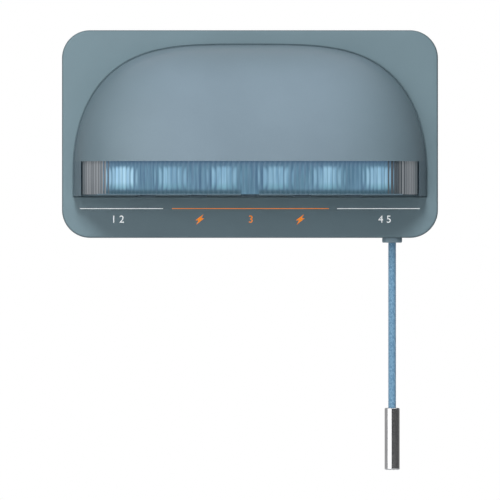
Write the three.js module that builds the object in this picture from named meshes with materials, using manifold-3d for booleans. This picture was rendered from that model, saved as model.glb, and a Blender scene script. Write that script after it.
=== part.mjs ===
import * as THREE from 'three';
import { mergeVertices } from 'three/addons/utils/BufferGeometryUtils.js';
import Module from 'manifold-3d';

// A wall-mounted toothbrush sterilizer with a pull cord, in millimetres.
// The origin is on the wall behind the middle of the body. +Z is up, and the front looks along -Y.

// Body
const bodyWidth = 226;
const bodyHeight = 124.8;
const bodyCornerRadius = 16.8;
const bodyDepth = 16.5;
const bodyWallGap = 1.2;
const bodyWall = 2.2;
const bodyFrontWall = 3;
const bodyEdgeRadius = 1.5;
const coverThickness = 2;
const fit = 0.3;

// Hood: its outline and its bulge follow one power curve, straight down below the shoulder
const hoodSideMargin = 7.2;
const hoodTopMargin = 8.9;
const hoodBottomMargin = 25.1;
const hoodDepth = 50;
const hoodWall = 2.4;
const hoodFlankHeight = 15.6;
const hoodMouthRise = 20.8;
const hoodMouthSideMargin = 4.5;
const hoodLipWall = 0.9;
const hoodLipHeight = 4;
const acrossPower = 3.7;
const upPower = 2.08;
const outPower = 2;
const seamGap = 0.8;
const seamDepth = 1.4;
const gasketThickness = 0.6;
const gasketProud = 0.5;
const hoodBossRadius = 3;
const hoodBossLength = 11;
const hoodBossTurnShares = [0.18, 0.57];

// Reeded flap in the hood's mouth
const flapRecess = 1.2;
const flapWall = 1.6;
const ribDepth = 0.6;
const ribPitch = 3.1;
const flapTopGap = 0.6;
const flapBottomRise = 0.9;
const flapEndGap = 0.9;
const flapLipHeight = 0.9;
const flapLipProud = 0.3;
const flapTabHalfWidth = 5.4;
const hingeSetBack = 5.6;
const hingeDrop = 2.1;
const hingeSpread = 40;
const hingePinRadius = 0.9;
const hingeEyeRadius = 1.9;
const hingeEarWidth = 3.2;
const hingeCentreEarWidth = 3.8;
const hingeEarHeight = 13;
const hingePostDepth = 3;
const flapSpringWire = 0.3;
const flapSpringTurns = 4;
const flapSpringPitch = 1.05;

// Brush rack
const rackThickness = 4;
const rackGap = 0.8;
const slotPitch = 31;
const slotCount = 5;
const slotSeatOut = 24;
const neckGap = 8.4;
const gripWall = 1.4;
const gripProud = 0.4;
const gripFrontInset = 1.6;

// Lamps, their board and the reflector behind the brushes
const lampWidth = 15;
const lampHeight = 10;
const lampCornerRadius = 2.5;
const lampDepth = 4.3;
const lampEdgeRadius = 1.2;
const lampRise = 11.3;
const linerThickness = 1.5;
const lampBoardThickness = 1.6;
const lampBoardMargin = 1.2;

// Wall bracket and its pad
const bracketSideMargin = 50;
const bracketEndMargin = 29.4;
const padThickness = 1;
const padCornerRadius = 5;
const padMargin = 5;
const bracketThickness = 2.5;
const bracketCornerRadius = 8;
const bracketFloat = 0.5;
const recessWall = 1.8;
const recessClearance = 0.6;
const hookWidth = 12;
const hookStemHeight = 3;
const hookTongueRise = 8;
const hookTongueThickness = 1.8;
const hookEndMargin = 5;
const hookSlotClearance = 0.5;
const liftTravel = 10;

// Cell and control board
const batterySideMargin = 70;
const batteryTopMargin = 18.4;
const batteryThickness = 5.6;
const batteryEdgeRadius = 1.4;
const batteryRise = 2;
const batteryTapeThickness = 0.4;
const boardWidth = 62;
const boardHeight = 19;
const boardThickness = 1.4;
const boardSideMargin = 32;
const boardPostHeight = 3.6;
const boardPostRadius = 2.6;
const boardPostInset = 4;
const chipWidth = 9;
const chipHeight = 7;
const chipThickness = 1.3;
const socketWidth = 9;
const socketThickness = 3.2;
const socketLength = 7.4;
const socketMouthWall = 0.5;
const socketCornerRadius = 1.4;

// Pull switch
const cordSideMargin = 27.5;
const cordRadius = 2.35;
const cordClearance = 0.4;
const pullTravel = 8;
const frameBar = 2;
const frameEndBar = 1.5;
const frameDepth = 8.4;
const frameFloorGap = 0.3;
const sliderWidth = 13.4;
const sliderSpare = 1;
const sliderDepth = 7.4;
const sliderRamp = 0.9;
const knotRadius = 3.3;
const knotPocketDepth = 5.5;
const springWire = 0.3;
const springRadius = 3.3;
const springTurns = 4;
const springSpare = 0.4;
const plungerRadius = 0.9;
const plungerLength = 4;
const plungerTipGap = 0.3;
const switchWidth = 10;
const switchHeight = 8;
const switchDepth = 6;

// Bushing, cord and weight below the body
const grommetRadius = 6;
const grommetDrop = 2.9;
const grommetNeckRadius = 3.9;
const grommetLipRadius = 4.5;
const grommetLipHeight = 0.7;
const grommetEdgeRadius = 0.6;
const innerCordRecess = 2;
const weightRadius = 4.5;
const weightLength = 37.2;
const weightEdgeRadius = 0.8;
const weightSocketDepth = 3.4;
const cordEndGap = 0.4;
const cordRoute = [
  [85.5, -8.85, -65.3],
  [85.5, -8.85, -72],
  [85.5, -8.85, -79],
  [85.5, -8.85, -86],
  [85.5, -8.85, -93],
  [85.5, -8.85, -100],
  [85.5, -8.85, -107],
  [85.5, -8.85, -114],
  [85.5, -8.85, -121],
  [85.5, -8.85, -128],
  [85.5, -8.85, -135],
  [85.5, -8.85, -142],
  [85.5, -8.85, -149],
  [85.5, -8.85, -156],
  [85.5, -8.85, -162],
  [85.5, -8.85, -167.7],
];

// Screws and wires
const postRadius = 3.6;
const postInset = 12;
const screwHeadRadius = 2.4;
const screwHeadHeight = 1.3;
const screwShankRadius = 1;
const screwLength = 7.5;
const screwClearance = 0.25;
const smallHeadRadius = 1.7;
const smallHeadHeight = 1;
const smallShankRadius = 0.8;
const crossWidth = 0.7;
const crossLength = 2.6;
const crossDepth = 0.7;
const wireRadius = 0.8;

// Facets
const cornerFacets = 6;
const smallCornerFacets = 3;
const roundFacets = 20;
const screwFacets = 10;
const edgeFacets = 3;
const domeRings = 13;
const domeColumns = 31;
const domeLastShare = 0.86;
const domeSpread = 0.7;
const ribFacets = 3;
const wireFacets = 6;
const wireStepsPerPoint = 4;
const coilStepsPerTurn = 8;
const cordFacets = 10;
const overrun = 1;

// Places worked out from the sizes above
const frontY = -bodyDepth;
const rearY = -bodyWallGap;
const innerFrontY = frontY + bodyFrontWall;
const pocketY = frontY + seamDepth;
const hoodBackY = pocketY - gasketThickness;
const halfWidth = bodyWidth / 2;
const halfHeight = bodyHeight / 2;
const hoodHalfWidth = halfWidth - hoodSideMargin;
const hoodTopZ = halfHeight - hoodTopMargin;
const hoodBottomZ = hoodBottomMargin - halfHeight;
const shoulderZ = hoodBottomZ + hoodFlankHeight;
const hoodRise = hoodTopZ - shoulderZ;
const mouthZ = hoodBottomZ + hoodMouthRise;
const mouthHalfWidth = hoodHalfWidth - hoodMouthSideMargin;
const flapBackInset = flapRecess + ribDepth + flapWall;
const flapTopZ = mouthZ - flapTopGap;
const flapBottomZ = hoodBottomZ + flapBottomRise;
const flapHalfWidth = mouthHalfWidth - flapEndGap;
const hingeY = frontY - hoodDepth + flapRecess + hingeSetBack;
const hingeZ = flapTopZ - hingeDrop;
const hingeReach = hingeCentreEarWidth / 2 + fit + hingeEarWidth;
const rackInset = flapBackInset + rackGap;
const rackTopZ = hoodBottomZ + rackThickness;
const slotRadius = neckGap / 2 + gripWall + fit;
const lampZ = hoodBottomZ + lampRise;
const lampBoardHalfWidth = (slotPitch * slotCount + lampWidth) / 2 + lampBoardMargin;
const lampBoardHalfHeight = lampHeight / 2 + lampBoardMargin;
const linerInset = hoodWall + hoodBossRadius * 2 + seamGap;
const bracketWidth = bodyWidth - bracketSideMargin * 2;
const bracketHeight = bodyHeight - bracketEndMargin * 2;
const padWidth = bracketWidth - padMargin * 2;
const padHeight = bracketHeight - padMargin * 2;
const bracketFrontY = -padThickness - bracketThickness;
const recessY = bracketFrontY - bracketFloat;
const recessFloorY = recessY - recessWall;
const hookX = bracketWidth / 2 - hookEndMargin - hookWidth / 2;
const hookZ = bracketHeight / 4;
const coverY = rearY - coverThickness;
const cordX = halfWidth - cordSideMargin;
const cordY = (rearY + frontY) / 2;
const cordBore = cordRadius + cordClearance;
const bodyFloorZ = -halfHeight + bodyWall;
const grommetZ = -halfHeight - grommetDrop;
const frameBottomZ = bodyFloorZ + grommetLipHeight + frameFloorGap;
const springBottomZ = frameBottomZ + frameEndBar + fit;
const springLength = pullTravel + springTurns * springWire * 2 + springSpare;
const sliderHeight = pullTravel + sliderSpare;
const sliderBottomZ = springBottomZ + springLength + fit;
const sliderTopZ = sliderBottomZ + sliderHeight;
const frameTopZ = sliderTopZ + frameEndBar + knotRadius / 2;
const knotZ = sliderTopZ - knotPocketDepth + fit + knotRadius;
const frameOuterWidth = sliderWidth + (fit + frameBar) * 2;
const sliderLeftX = cordX - sliderWidth / 2;
const plungerZ = sliderBottomZ + plungerRadius;
const plungerTipX = sliderLeftX + sliderRamp - plungerTipGap - sliderRamp * (plungerRadius / sliderHeight);
const switchRightX = cordX - frameOuterWidth / 2 - fit;
const boardLeftX = boardSideMargin - halfWidth;
const boardBottomZ = bodyFloorZ + fit * 2;
const boardFrontY = innerFrontY + boardPostHeight;
const boardBackY = boardFrontY + boardThickness;

const wasm = await Module();
wasm.setup();

const assembly = new THREE.Group();
const forward = new THREE.Matrix4().makeRotationX(Math.PI / 2);
const sideways = new THREE.Matrix4().makeBasis(
  new THREE.Vector3(0, 1, 0),
  new THREE.Vector3(0, 0, 1),
  new THREE.Vector3(1, 0, 0),
);

function paint(color, roughness, metalness = 0, opacity = 1) {
  return new THREE.MeshStandardMaterial({ color, roughness, metalness, opacity, transparent: opacity < 1 });
}

const shellPaint = paint(0x7d939c, 0.55);
const darkRubber = paint(0x2b3338, 0.8);
const reflectorPaint = paint(0xb8c7d0, 0.35);
const reedPlastic = paint(0x8fb2c8, 0.25, 0, 0.6);
const siliconePaint = paint(0x566871, 0.7);
const lampPaint = paint(0x9cc6e0, 0.2);
const boardPaint = paint(0x1f5a3d, 0.6);
const cellPaint = paint(0x9aa2a8, 0.45, 0.3);
const steelPaint = paint(0xc8ccd0, 0.2, 1);
const blackPlastic = paint(0x24282b, 0.6);
const whitePlastic = paint(0xd8dcde, 0.5);
const cordPaint = paint(0x6a9ab8, 0.85);
const wirePaint = paint(0x30343a, 0.6);

// Solids

function toSolid(geometry) {
  const bare = geometry.clone();
  bare.deleteAttribute('normal');
  bare.deleteAttribute('uv');
  const merged = mergeVertices(bare);
  const corners = merged.index.array;
  const kept = [];
  for (let i = 0; i < corners.length; i += 3) {
    const [a, b, c] = [corners[i], corners[i + 1], corners[i + 2]];
    if (a !== b && b !== c && c !== a) {
      kept.push(a, b, c);
    }
  }
  const vertProperties = Float32Array.from(merged.attributes.position.array);
  return new wasm.Manifold(new wasm.Mesh({ numProp: 3, vertProperties, triVerts: Uint32Array.from(kept) }));
}

function toGeometry(solid) {
  const mesh = solid.getMesh();
  const geometry = new THREE.BufferGeometry();
  geometry.setAttribute('position', new THREE.BufferAttribute(mesh.vertProperties, 3));
  geometry.setIndex(new THREE.BufferAttribute(mesh.triVerts, 1));
  return geometry;
}

function joined(...solids) {
  return solids.reduce((whole, next) => whole.add(next));
}

function cut(solid, ...tools) {
  return tools.reduce((whole, next) => whole.subtract(next), solid);
}

function add(name, solid, material) {
  const mesh = new THREE.Mesh(toGeometry(solid), material);
  mesh.name = name;
  assembly.add(mesh);
}

// Outlines and plain shapes

function roundedRectangle(width, height, radius, facets = cornerFacets) {
  const points = [];
  const corners = [[1, 1], [-1, 1], [-1, -1], [1, -1]];
  corners.forEach(([right, up], quarter) => {
    for (let i = 0; i <= facets; i += 1) {
      const angle = (quarter + i / facets) * (Math.PI / 2);
      const x = right * (width / 2 - radius) + radius * Math.cos(angle);
      const y = up * (height / 2 - radius) + radius * Math.sin(angle);
      points.push(new THREE.Vector2(x, y));
    }
  });
  return points;
}

function circle(radius, facets = roundFacets) {
  const points = [];
  for (let i = 0; i < facets; i += 1) {
    const angle = (i / facets) * Math.PI * 2;
    points.push(new THREE.Vector2(radius * Math.cos(angle), radius * Math.sin(angle)));
  }
  return points;
}

function moved(points, x, y) {
  return points.map((point) => new THREE.Vector2(point.x + x, point.y + y));
}

function extruded(points, depth) {
  return new THREE.ExtrudeGeometry(new THREE.Shape(points), { depth, bevelEnabled: false });
}

// An outline in x and z, from the back to the front
function forwardPrism(points, backY, endY) {
  return toSolid(extruded(points, backY - endY).applyMatrix4(forward).translate(0, backY, 0));
}

// An outline in x and y, from the bottom up
function upPrism(points, lowZ, highZ) {
  return toSolid(extruded(points, highZ - lowZ).translate(0, 0, lowZ));
}

// An outline in y and z, from left to right
function sidePrism(points, leftX, rightX) {
  return toSolid(extruded(points, rightX - leftX).applyMatrix4(sideways).translate(leftX, 0, 0));
}

function block(x, y, z) {
  const box = new THREE.BoxGeometry(x[1] - x[0], y[1] - y[0], z[1] - z[0]);
  return toSolid(box.translate((x[0] + x[1]) / 2, (y[0] + y[1]) / 2, (z[0] + z[1]) / 2));
}

function around(middle, half) {
  return [middle - half, middle + half];
}

// A profile of [radius, height] turned about the z axis
function turned(profile, facets = roundFacets) {
  const points = profile.map(([radius, height]) => new THREE.Vector2(radius, height));
  return new THREE.LatheGeometry(points, facets).applyMatrix4(forward);
}

function loft(rings, flatten) {
  const count = rings[0].length;
  const faces = [];
  for (let start = 0; start < (rings.length - 1) * count; start += count) {
    for (let i = 0; i < count; i += 1) {
      const a = start + i;
      const b = start + ((i + 1) % count);
      faces.push(a, b, b + count, a, b + count, a + count);
    }
  }
  const last = (rings.length - 1) * count;
  for (const [a, b, c] of THREE.ShapeUtils.triangulateShape(rings[0].map(flatten), [])) {
    faces.push(c, b, a);
  }
  for (const [a, b, c] of THREE.ShapeUtils.triangulateShape(rings[rings.length - 1].map(flatten), [])) {
    faces.push(last + a, last + b, last + c);
  }
  const geometry = new THREE.BufferGeometry().setFromPoints(rings.flat());
  geometry.setIndex(faces);
  return toSolid(geometry);
}

// A rounded block whose front edge is rounded too
function softSlab(width, height, corner, backY, endY, edge, facets = smallCornerFacets) {
  const rings = [];
  const addRing = (inset, y) => {
    const outline = roundedRectangle(width - inset * 2, height - inset * 2, corner - inset, facets);
    rings.push(outline.map((point) => new THREE.Vector3(point.x, y, point.y)));
  };
  addRing(0, backY);
  for (let i = 0; i <= edgeFacets; i += 1) {
    const angle = (i / edgeFacets) * (Math.PI / 2);
    addRing(edge - edge * Math.cos(angle), endY + edge - edge * Math.sin(angle));
  }
  return loft(rings, (point) => new THREE.Vector2(point.x, point.z));
}

function strand(curve, radius, sides, steps) {
  const section = new THREE.Shape(circle(radius, sides));
  return toSolid(new THREE.ExtrudeGeometry(section, { steps, bevelEnabled: false, extrudePath: curve }));
}

class Helix extends THREE.Curve {
  constructor(radius, length, turns) {
    super();
    this.radius = radius;
    this.length = length;
    this.turns = turns;
  }

  getPoint(share, target = new THREE.Vector3()) {
    const angle = share * this.turns * Math.PI * 2;
    return target.set(this.radius * Math.cos(angle), this.radius * Math.sin(angle), this.length * share);
  }
}

// Least clear gap between a helix and its own next turn, from points a turn apart
function helixGap(helix, wire) {
  const turnShare = 1 / helix.turns;
  const gaps = [0, turnShare / 2, turnShare].map((share) => (
    helix.getPoint(share).distanceTo(helix.getPoint(share + turnShare)) - wire * 2
  ));
  return Math.min(...gaps);
}

// The hood's curve

// Shares of the half width from one side to the other, closest together at the two ends
function spreadShares() {
  return Array.from({ length: domeColumns + 1 }, (_, i) => {
    const share = Math.sin((i / domeColumns - 1 / 2) * Math.PI);
    return Math.sign(share) * Math.abs(share) ** domeSpread;
  });
}

function archOutline(inset, bottomZ) {
  const reach = hoodHalfWidth - inset;
  const rise = hoodRise - inset;
  const points = [new THREE.Vector2(-reach, bottomZ), new THREE.Vector2(reach, bottomZ)];
  for (const across of spreadShares().reverse()) {
    const up = (1 - Math.abs(across) ** acrossPower) ** (1 / upPower);
    points.push(new THREE.Vector2(reach * across, shoulderZ + rise * up));
  }
  return points;
}

function outAt(x, inset) {
  const share = Math.min(Math.abs(x) / (hoodHalfWidth - inset), 1);
  return (hoodDepth - inset) * (1 - share ** acrossPower) ** (1 / outPower);
}

function domeRing(reach, out, z, backY) {
  const ring = [new THREE.Vector3(-reach, backY, z)];
  for (const share of spreadShares()) {
    const bulge = (1 - Math.abs(share) ** acrossPower) ** (1 / outPower);
    ring.push(new THREE.Vector3(reach * share, frontY - out * bulge, z));
  }
  ring.push(new THREE.Vector3(reach, backY, z));
  return ring;
}

function dome(inset, bottomZ, backY) {
  const reach = hoodHalfWidth - inset;
  const out = hoodDepth - inset;
  const rise = hoodRise - inset;
  const rings = [domeRing(reach, out, bottomZ, backY)];
  for (let i = 0; i <= domeRings; i += 1) {
    const across = Math.cos((i / domeRings) * domeLastShare * (Math.PI / 2));
    const up = (1 - across ** acrossPower) ** (1 / upPower);
    const outHere = out * across ** (acrossPower / outPower);
    rings.push(domeRing(reach * across, outHere, shoulderZ + rise * up, backY));
  }
  return loft(rings, (point) => new THREE.Vector2(point.x, point.y));
}

// A plan curve of the hood as [x, y] points from left to right
function planCurve(inset, reach) {
  const xs = spreadShares().map((share) => reach * share);
  return xs.map((x) => new THREE.Vector2(x, frontY - outAt(x, inset)));
}

function hoodBossPlaces() {
  const inset = hoodWall + hoodBossRadius * (3 / 4);
  return hoodBossTurnShares.flatMap((share) => {
    const across = Math.cos(share * (Math.PI / 2));
    const up = (1 - across ** acrossPower) ** (1 / upPower);
    const x = (hoodHalfWidth - inset) * across;
    const z = shoulderZ + (hoodRise - inset) * up;
    return [[-x, z], [x, z]];
  });
}

function slotXs() {
  return Array.from({ length: slotCount }, (_, i) => (i - (slotCount - 1) / 2) * slotPitch);
}

function lampXs() {
  return Array.from({ length: slotCount + 1 }, (_, i) => (i - slotCount / 2) * slotPitch);
}

function cornerPlaces() {
  const x = halfWidth - postInset;
  const z = halfHeight - postInset;
  return [[-x, z], [x, z], [-x, -z], [x, -z]];
}

function between(first, second) {
  return (first + second) / 2;
}

// A pair of screw places beside the middle, half way between two slots
function rackScrewXs() {
  const x = slotPitch * (3 / 2);
  return [-x, x];
}

function lampScrewXs() {
  const lamps = lampXs();
  const last = lamps.length - 1;
  return [between(lamps[0], lamps[1]), between(lamps[last - 1], lamps[last])];
}

function boardScrewPlaces() {
  const x = [boardLeftX + boardPostInset, boardLeftX + boardWidth - boardPostInset];
  const z = boardBottomZ + boardHeight - boardPostInset;
  return [[x[0], z], [x[1], z]];
}

// A round hole or pin along y
function forwardRod(radius, x, z, backY, endY, facets = screwFacets) {
  return forwardPrism(moved(circle(radius, facets), x, z), backY, endY);
}

// Screw with its seat at the origin and its shank along -Y
function screw(headRadius, headHeight, shankRadius, length) {
  const profile = [
    [0, -headHeight],
    [headRadius * (3 / 4), -headHeight],
    [headRadius, -headHeight / 2],
    [headRadius, 0],
    [shankRadius, 0],
    [shankRadius, length - shankRadius],
    [shankRadius / 2, length],
    [0, length],
  ];
  return toSolid(turned(profile, screwFacets).applyMatrix4(forward));
}

// Driver recess of a crossed head
function cross(headHeight) {
  const slotY = [headHeight - crossDepth, headHeight + overrun];
  const long = around(0, crossLength / 2);
  const thin = around(0, crossWidth / 2);
  return joined(block(long, slotY, thin), block(thin, slotY, long));
}

function addScrews(name, places, seatY, kind, length) {
  const plain = screw(kind.headRadius, kind.headHeight, kind.shankRadius, length);
  const solid = kind.crossed ? cut(plain, cross(kind.headHeight)) : plain;
  places.forEach(([x, z], i) => {
    add(`${name}_${i + 1}`, solid.translate([x, seatY, z]), steelPaint);
  });
}

const insideScrew = {
  headRadius: screwHeadRadius,
  headHeight: screwHeadHeight,
  shankRadius: screwShankRadius,
  crossed: false,
};
const outsideScrew = { ...insideScrew, crossed: true };
const smallScrew = {
  headRadius: smallHeadRadius,
  headHeight: smallHeadHeight,
  shankRadius: smallShankRadius,
  crossed: false,
};

// Wall side

function addWallBracket() {
  const pad = roundedRectangle(padWidth, padHeight, padCornerRadius);
  add('adhesive_pad', forwardPrism(pad, 0, -padThickness), darkRubber);
  const plate = roundedRectangle(bracketWidth, bracketHeight, bracketCornerRadius);
  let bracket = forwardPrism(plate, -padThickness, bracketFrontY);
  const tongueBackY = recessFloorY - fit * 2;
  const tongueFrontY = tongueBackY - hookTongueThickness;
  for (const x of [-hookX, hookX]) {
    for (const z of [-hookZ, hookZ]) {
      const span = around(x, hookWidth / 2);
      const stem = around(z, hookStemHeight / 2);
      const tongue = [stem[0], stem[1] + hookTongueRise];
      bracket = joined(
        bracket,
        block(span, [tongueFrontY, bracketFrontY + overrun], stem),
        block(span, [tongueFrontY, tongueBackY], tongue),
      );
    }
  }
  add('wall_bracket', bracket, whitePlastic);
}

function hookSlots() {
  const solids = [];
  for (const x of [-hookX, hookX]) {
    for (const z of [-hookZ, hookZ]) {
      const lowZ = z - hookStemHeight / 2 - liftTravel - hookSlotClearance;
      const highZ = z + hookStemHeight / 2 + fit;
      const span = around(x, hookWidth / 2 + hookSlotClearance);
      solids.push(block(span, [recessFloorY - overrun, recessY + overrun], [lowZ, highZ]));
    }
  }
  return solids;
}

function addRearCover() {
  const width = bodyWidth - (bodyWall + fit) * 2;
  const height = bodyHeight - (bodyWall + fit) * 2;
  const plate = roundedRectangle(width, height, bodyCornerRadius - bodyWall - fit);
  const pocketWidth = bracketWidth + recessClearance * 2;
  const pocketHeight = bracketHeight + recessClearance * 2 + liftTravel;
  const pocket = moved(roundedRectangle(pocketWidth, pocketHeight, bracketCornerRadius), 0, -liftTravel / 2);
  const wallWidth = pocketWidth + recessWall * 2;
  const wallHeight = pocketHeight + recessWall * 2;
  const outer = roundedRectangle(wallWidth, wallHeight, bracketCornerRadius + recessWall);
  const solid = joined(
    forwardPrism(plate, rearY, coverY),
    forwardPrism(moved(outer, 0, -liftTravel / 2), rearY, recessFloorY),
  );
  const holes = cornerPlaces().flatMap(([x, z]) => [
    forwardRod(screwShankRadius + screwClearance, x, z, 0, coverY - overrun),
    forwardRod(screwHeadRadius + fit, x, z, 0, rearY - screwHeadHeight, roundFacets),
  ]);
  const cutters = [forwardPrism(pocket, 0, recessY), ...hookSlots(), ...holes];
  add('rear_cover', cut(solid, ...cutters), shellPaint);
  addScrews('housing_screw', cornerPlaces(), rearY - screwHeadHeight, outsideScrew, screwLength);
}

// Body

function lampWindow(x, backY, endY) {
  const width = lampWidth + fit * 2;
  const outline = roundedRectangle(width, lampHeight + fit * 2, lampCornerRadius + fit, smallCornerFacets);
  return forwardPrism(moved(outline, x, lampZ), backY, endY);
}

function socketHole() {
  const width = socketWidth + fit * 2;
  const outline = roundedRectangle(width, socketThickness + fit * 2, socketCornerRadius + fit);
  const middleX = boardLeftX + boardWidth / 2;
  const placed = moved(outline, middleX, boardBackY + socketThickness / 2);
  return upPrism(placed, -halfHeight - overrun, bodyFloorZ + overrun);
}

function addFrontShell() {
  const sides = [bodyWidth, bodyHeight, bodyCornerRadius];
  const outer = softSlab(...sides, rearY, frontY, bodyEdgeRadius, cornerFacets);
  const innerWidth = bodyWidth - bodyWall * 2;
  const innerHeight = bodyHeight - bodyWall * 2;
  const room = roundedRectangle(innerWidth, innerHeight, bodyCornerRadius - bodyWall);
  const pocket = archOutline(-seamGap, hoodBottomZ - seamGap);
  const posts = cornerPlaces().map(([x, z]) => (
    forwardRod(postRadius, x, z, coverY - fit, innerFrontY - overrun, roundFacets)
  ));
  const boardPosts = boardScrewPlaces().map(([x, z]) => (
    forwardRod(boardPostRadius, x, z, boardFrontY, innerFrontY - overrun)
  ));
  const postHoles = cornerPlaces().map(([x, z]) => (
    forwardRod(screwShankRadius + screwClearance, x, z, coverY + overrun, coverY - screwLength)
  ));
  const hoodHoles = hoodBossPlaces().map(([x, z]) => (
    forwardRod(screwShankRadius + screwClearance, x, z, innerFrontY + overrun, frontY - overrun)
  ));
  const rackHoles = rackScrewXs().map((x) => (
    rackScrewSeat(x, smallShankRadius + screwClearance, innerFrontY + overrun, frontY)
  ));
  const lampHoleEndY = between(innerFrontY, pocketY);
  const lampHoles = lampScrewXs().map((x) => (
    forwardRod(smallShankRadius + screwClearance, x, lampZ, innerFrontY + overrun, lampHoleEndY)
  ));
  const boardHoles = boardScrewPlaces().map(([x, z]) => (
    forwardRod(smallShankRadius + screwClearance, x, z, boardFrontY + overrun, innerFrontY)
  ));
  const windows = lampXs().map((x) => lampWindow(x, innerFrontY + overrun, frontY));
  const bushingHole = upPrism(
    moved(circle(grommetNeckRadius + screwClearance), cordX, cordY),
    -halfHeight - overrun,
    bodyFloorZ + overrun,
  );
  const hoodSeat = forwardPrism(pocket, pocketY, frontY - overrun);
  const hollow = cut(outer, forwardPrism(room, 0, innerFrontY), hoodSeat);
  const cutters = [...postHoles, ...hoodHoles, ...rackHoles, ...lampHoles, ...boardHoles, ...windows];
  const solid = cut(joined(hollow, ...posts, ...boardPosts), ...cutters, bushingHole, socketHole());
  add('front_shell', solid, shellPaint);
}

// Hood

function hingeEye(x, width) {
  return sidePrism(moved(circle(hingeEyeRadius), hingeY, hingeZ), x - width / 2, x + width / 2);
}

function flapEar(x) {
  const wallY = frontY - outAt(x, flapBackInset - flapWall / 2);
  const arm = block(around(x, hingeEarWidth / 2), [wallY, hingeY + hingeEyeRadius], [hingeZ, flapTopZ]);
  return joined(hingeEye(x, hingeEarWidth), arm);
}

// Both hinges' bores, each no longer than its ears
function hingeBores() {
  const outline = moved(circle(hingePinRadius + screwClearance, screwFacets), hingeY, hingeZ);
  const reach = hingeReach + fit;
  return joined(
    sidePrism(outline, -hingeSpread - reach, reach - hingeSpread),
    sidePrism(outline, hingeSpread - reach, hingeSpread + reach),
  );
}

// The hood's ear passes behind and over the flap's top edge, which turns between the two
function hoodEar(side) {
  const x = side * hingeSpread;
  const span = around(x, hingeCentreEarWidth / 2);
  const topZ = hingeZ + hingeEarHeight;
  const postBackY = hingeY + hingePostDepth;
  const post = block(span, [hingeY + fit, postBackY], [hingeZ - hingeEyeRadius, topZ]);
  const wallY = frontY - outAt(x, hoodWall / 2);
  const bridge = block(span, [wallY, postBackY], [mouthZ + hoodLipHeight, topZ]);
  return joined(hingeEye(x, hingeCentreEarWidth), post, bridge);
}

function addHood() {
  const outer = dome(0, hoodBottomZ, hoodBackY);
  const inner = dome(hoodWall, hoodBottomZ - overrun, hoodBackY + overrun);
  const mouth = block(
    around(0, mouthHalfWidth),
    [frontY - hoodDepth - overrun, frontY],
    [hoodBottomZ - overrun, mouthZ],
  );
  const lipBand = block(
    around(0, mouthHalfWidth),
    [frontY - hoodDepth, hingeY],
    [mouthZ - overrun, mouthZ + hoodLipHeight],
  );
  const lipRoom = dome(hoodLipWall, hoodBottomZ, hoodBackY).intersect(lipBand);
  const shell = cut(outer, inner, mouth, lipRoom);
  const bosses = hoodBossPlaces().map(([x, z]) => (
    forwardRod(hoodBossRadius, x, z, hoodBackY, frontY - hoodBossLength, roundFacets)
  ));
  const trimmed = joined(...bosses).intersect(dome(hoodWall / 2, hoodBottomZ, hoodBackY + overrun));
  const bores = hoodBossPlaces().map(([x, z]) => (
    forwardRod(screwShankRadius + screwClearance, x, z, hoodBackY + overrun, innerFrontY - screwLength - fit)
  ));
  const whole = joined(shell, trimmed, hoodEar(-1), hoodEar(1));
  add('hood', cut(whole, ...bores, hingeBores()), shellPaint);
}

function addGasket() {
  const outer = forwardPrism(archOutline(-gasketProud, hoodBottomZ), pocketY, hoodBackY);
  const room = archOutline(hoodWall, hoodBottomZ - overrun);
  const inner = forwardPrism(room, pocketY + overrun, hoodBackY - overrun);
  add('hood_gasket', cut(outer, inner), darkRubber);
}

function addLiner() {
  const outline = archOutline(linerInset, rackTopZ + fit);
  const sheet = forwardPrism(outline, pocketY, pocketY - linerThickness);
  const windows = lampXs().map((x) => lampWindow(x, pocketY + overrun, pocketY - linerThickness - overrun));
  add('chamber_liner', cut(sheet, ...windows), reflectorPaint);
}

// Reeded flap

// The outer edge of the flap in plan, bulging once in every rib
function ribbedCurve() {
  const inset = flapRecess + ribDepth;
  const fine = planCurve(inset, flapHalfWidth);
  const path = new THREE.CatmullRomCurve3(fine.map((point) => new THREE.Vector3(point.x, point.y, 0)));
  const ribs = Math.round(path.getLength() / ribPitch);
  const points = [];
  for (let i = 0; i <= ribs * ribFacets; i += 1) {
    const share = i / (ribs * ribFacets);
    const point = path.getPointAt(share);
    const along = path.getTangentAt(share);
    const bulge = ribDepth * Math.sin(((i % ribFacets) / ribFacets) * Math.PI);
    points.push(new THREE.Vector2(point.x + along.y * bulge, point.y - along.x * bulge));
  }
  return points;
}

function stripOutline(outerInset, innerInset, left, right) {
  const points = [];
  for (let i = 0; i <= domeColumns; i += 1) {
    const x = left + (right - left) * (i / domeColumns);
    points.push(new THREE.Vector2(x, frontY - outAt(x, outerInset)));
  }
  for (let i = domeColumns; i >= 0; i -= 1) {
    const x = left + (right - left) * (i / domeColumns);
    points.push(new THREE.Vector2(x, frontY - outAt(x, innerInset)));
  }
  return points;
}

function addFlap() {
  const inner = planCurve(flapBackInset, flapHalfWidth).reverse();
  const band = upPrism([...ribbedCurve(), ...inner], flapBottomZ, flapTopZ);
  const lipBottomZ = flapBottomZ - fit;
  const lips = [-1, 1].map((side) => {
    const ends = [side * flapTabHalfWidth, side * flapHalfWidth].sort((a, b) => a - b);
    const outline = stripOutline(flapRecess - flapLipProud, flapBackInset, ends[0], ends[1]);
    return upPrism(outline, lipBottomZ, lipBottomZ + flapLipHeight);
  });
  const step = (hingeCentreEarWidth + hingeEarWidth) / 2 + fit;
  const ears = [-1, 1].flatMap((side) => [-1, 1].map((end) => flapEar(side * hingeSpread + end * step)));
  add('window_flap', cut(joined(band, ...lips, ...ears), hingeBores()), reedPlastic);
}

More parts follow.
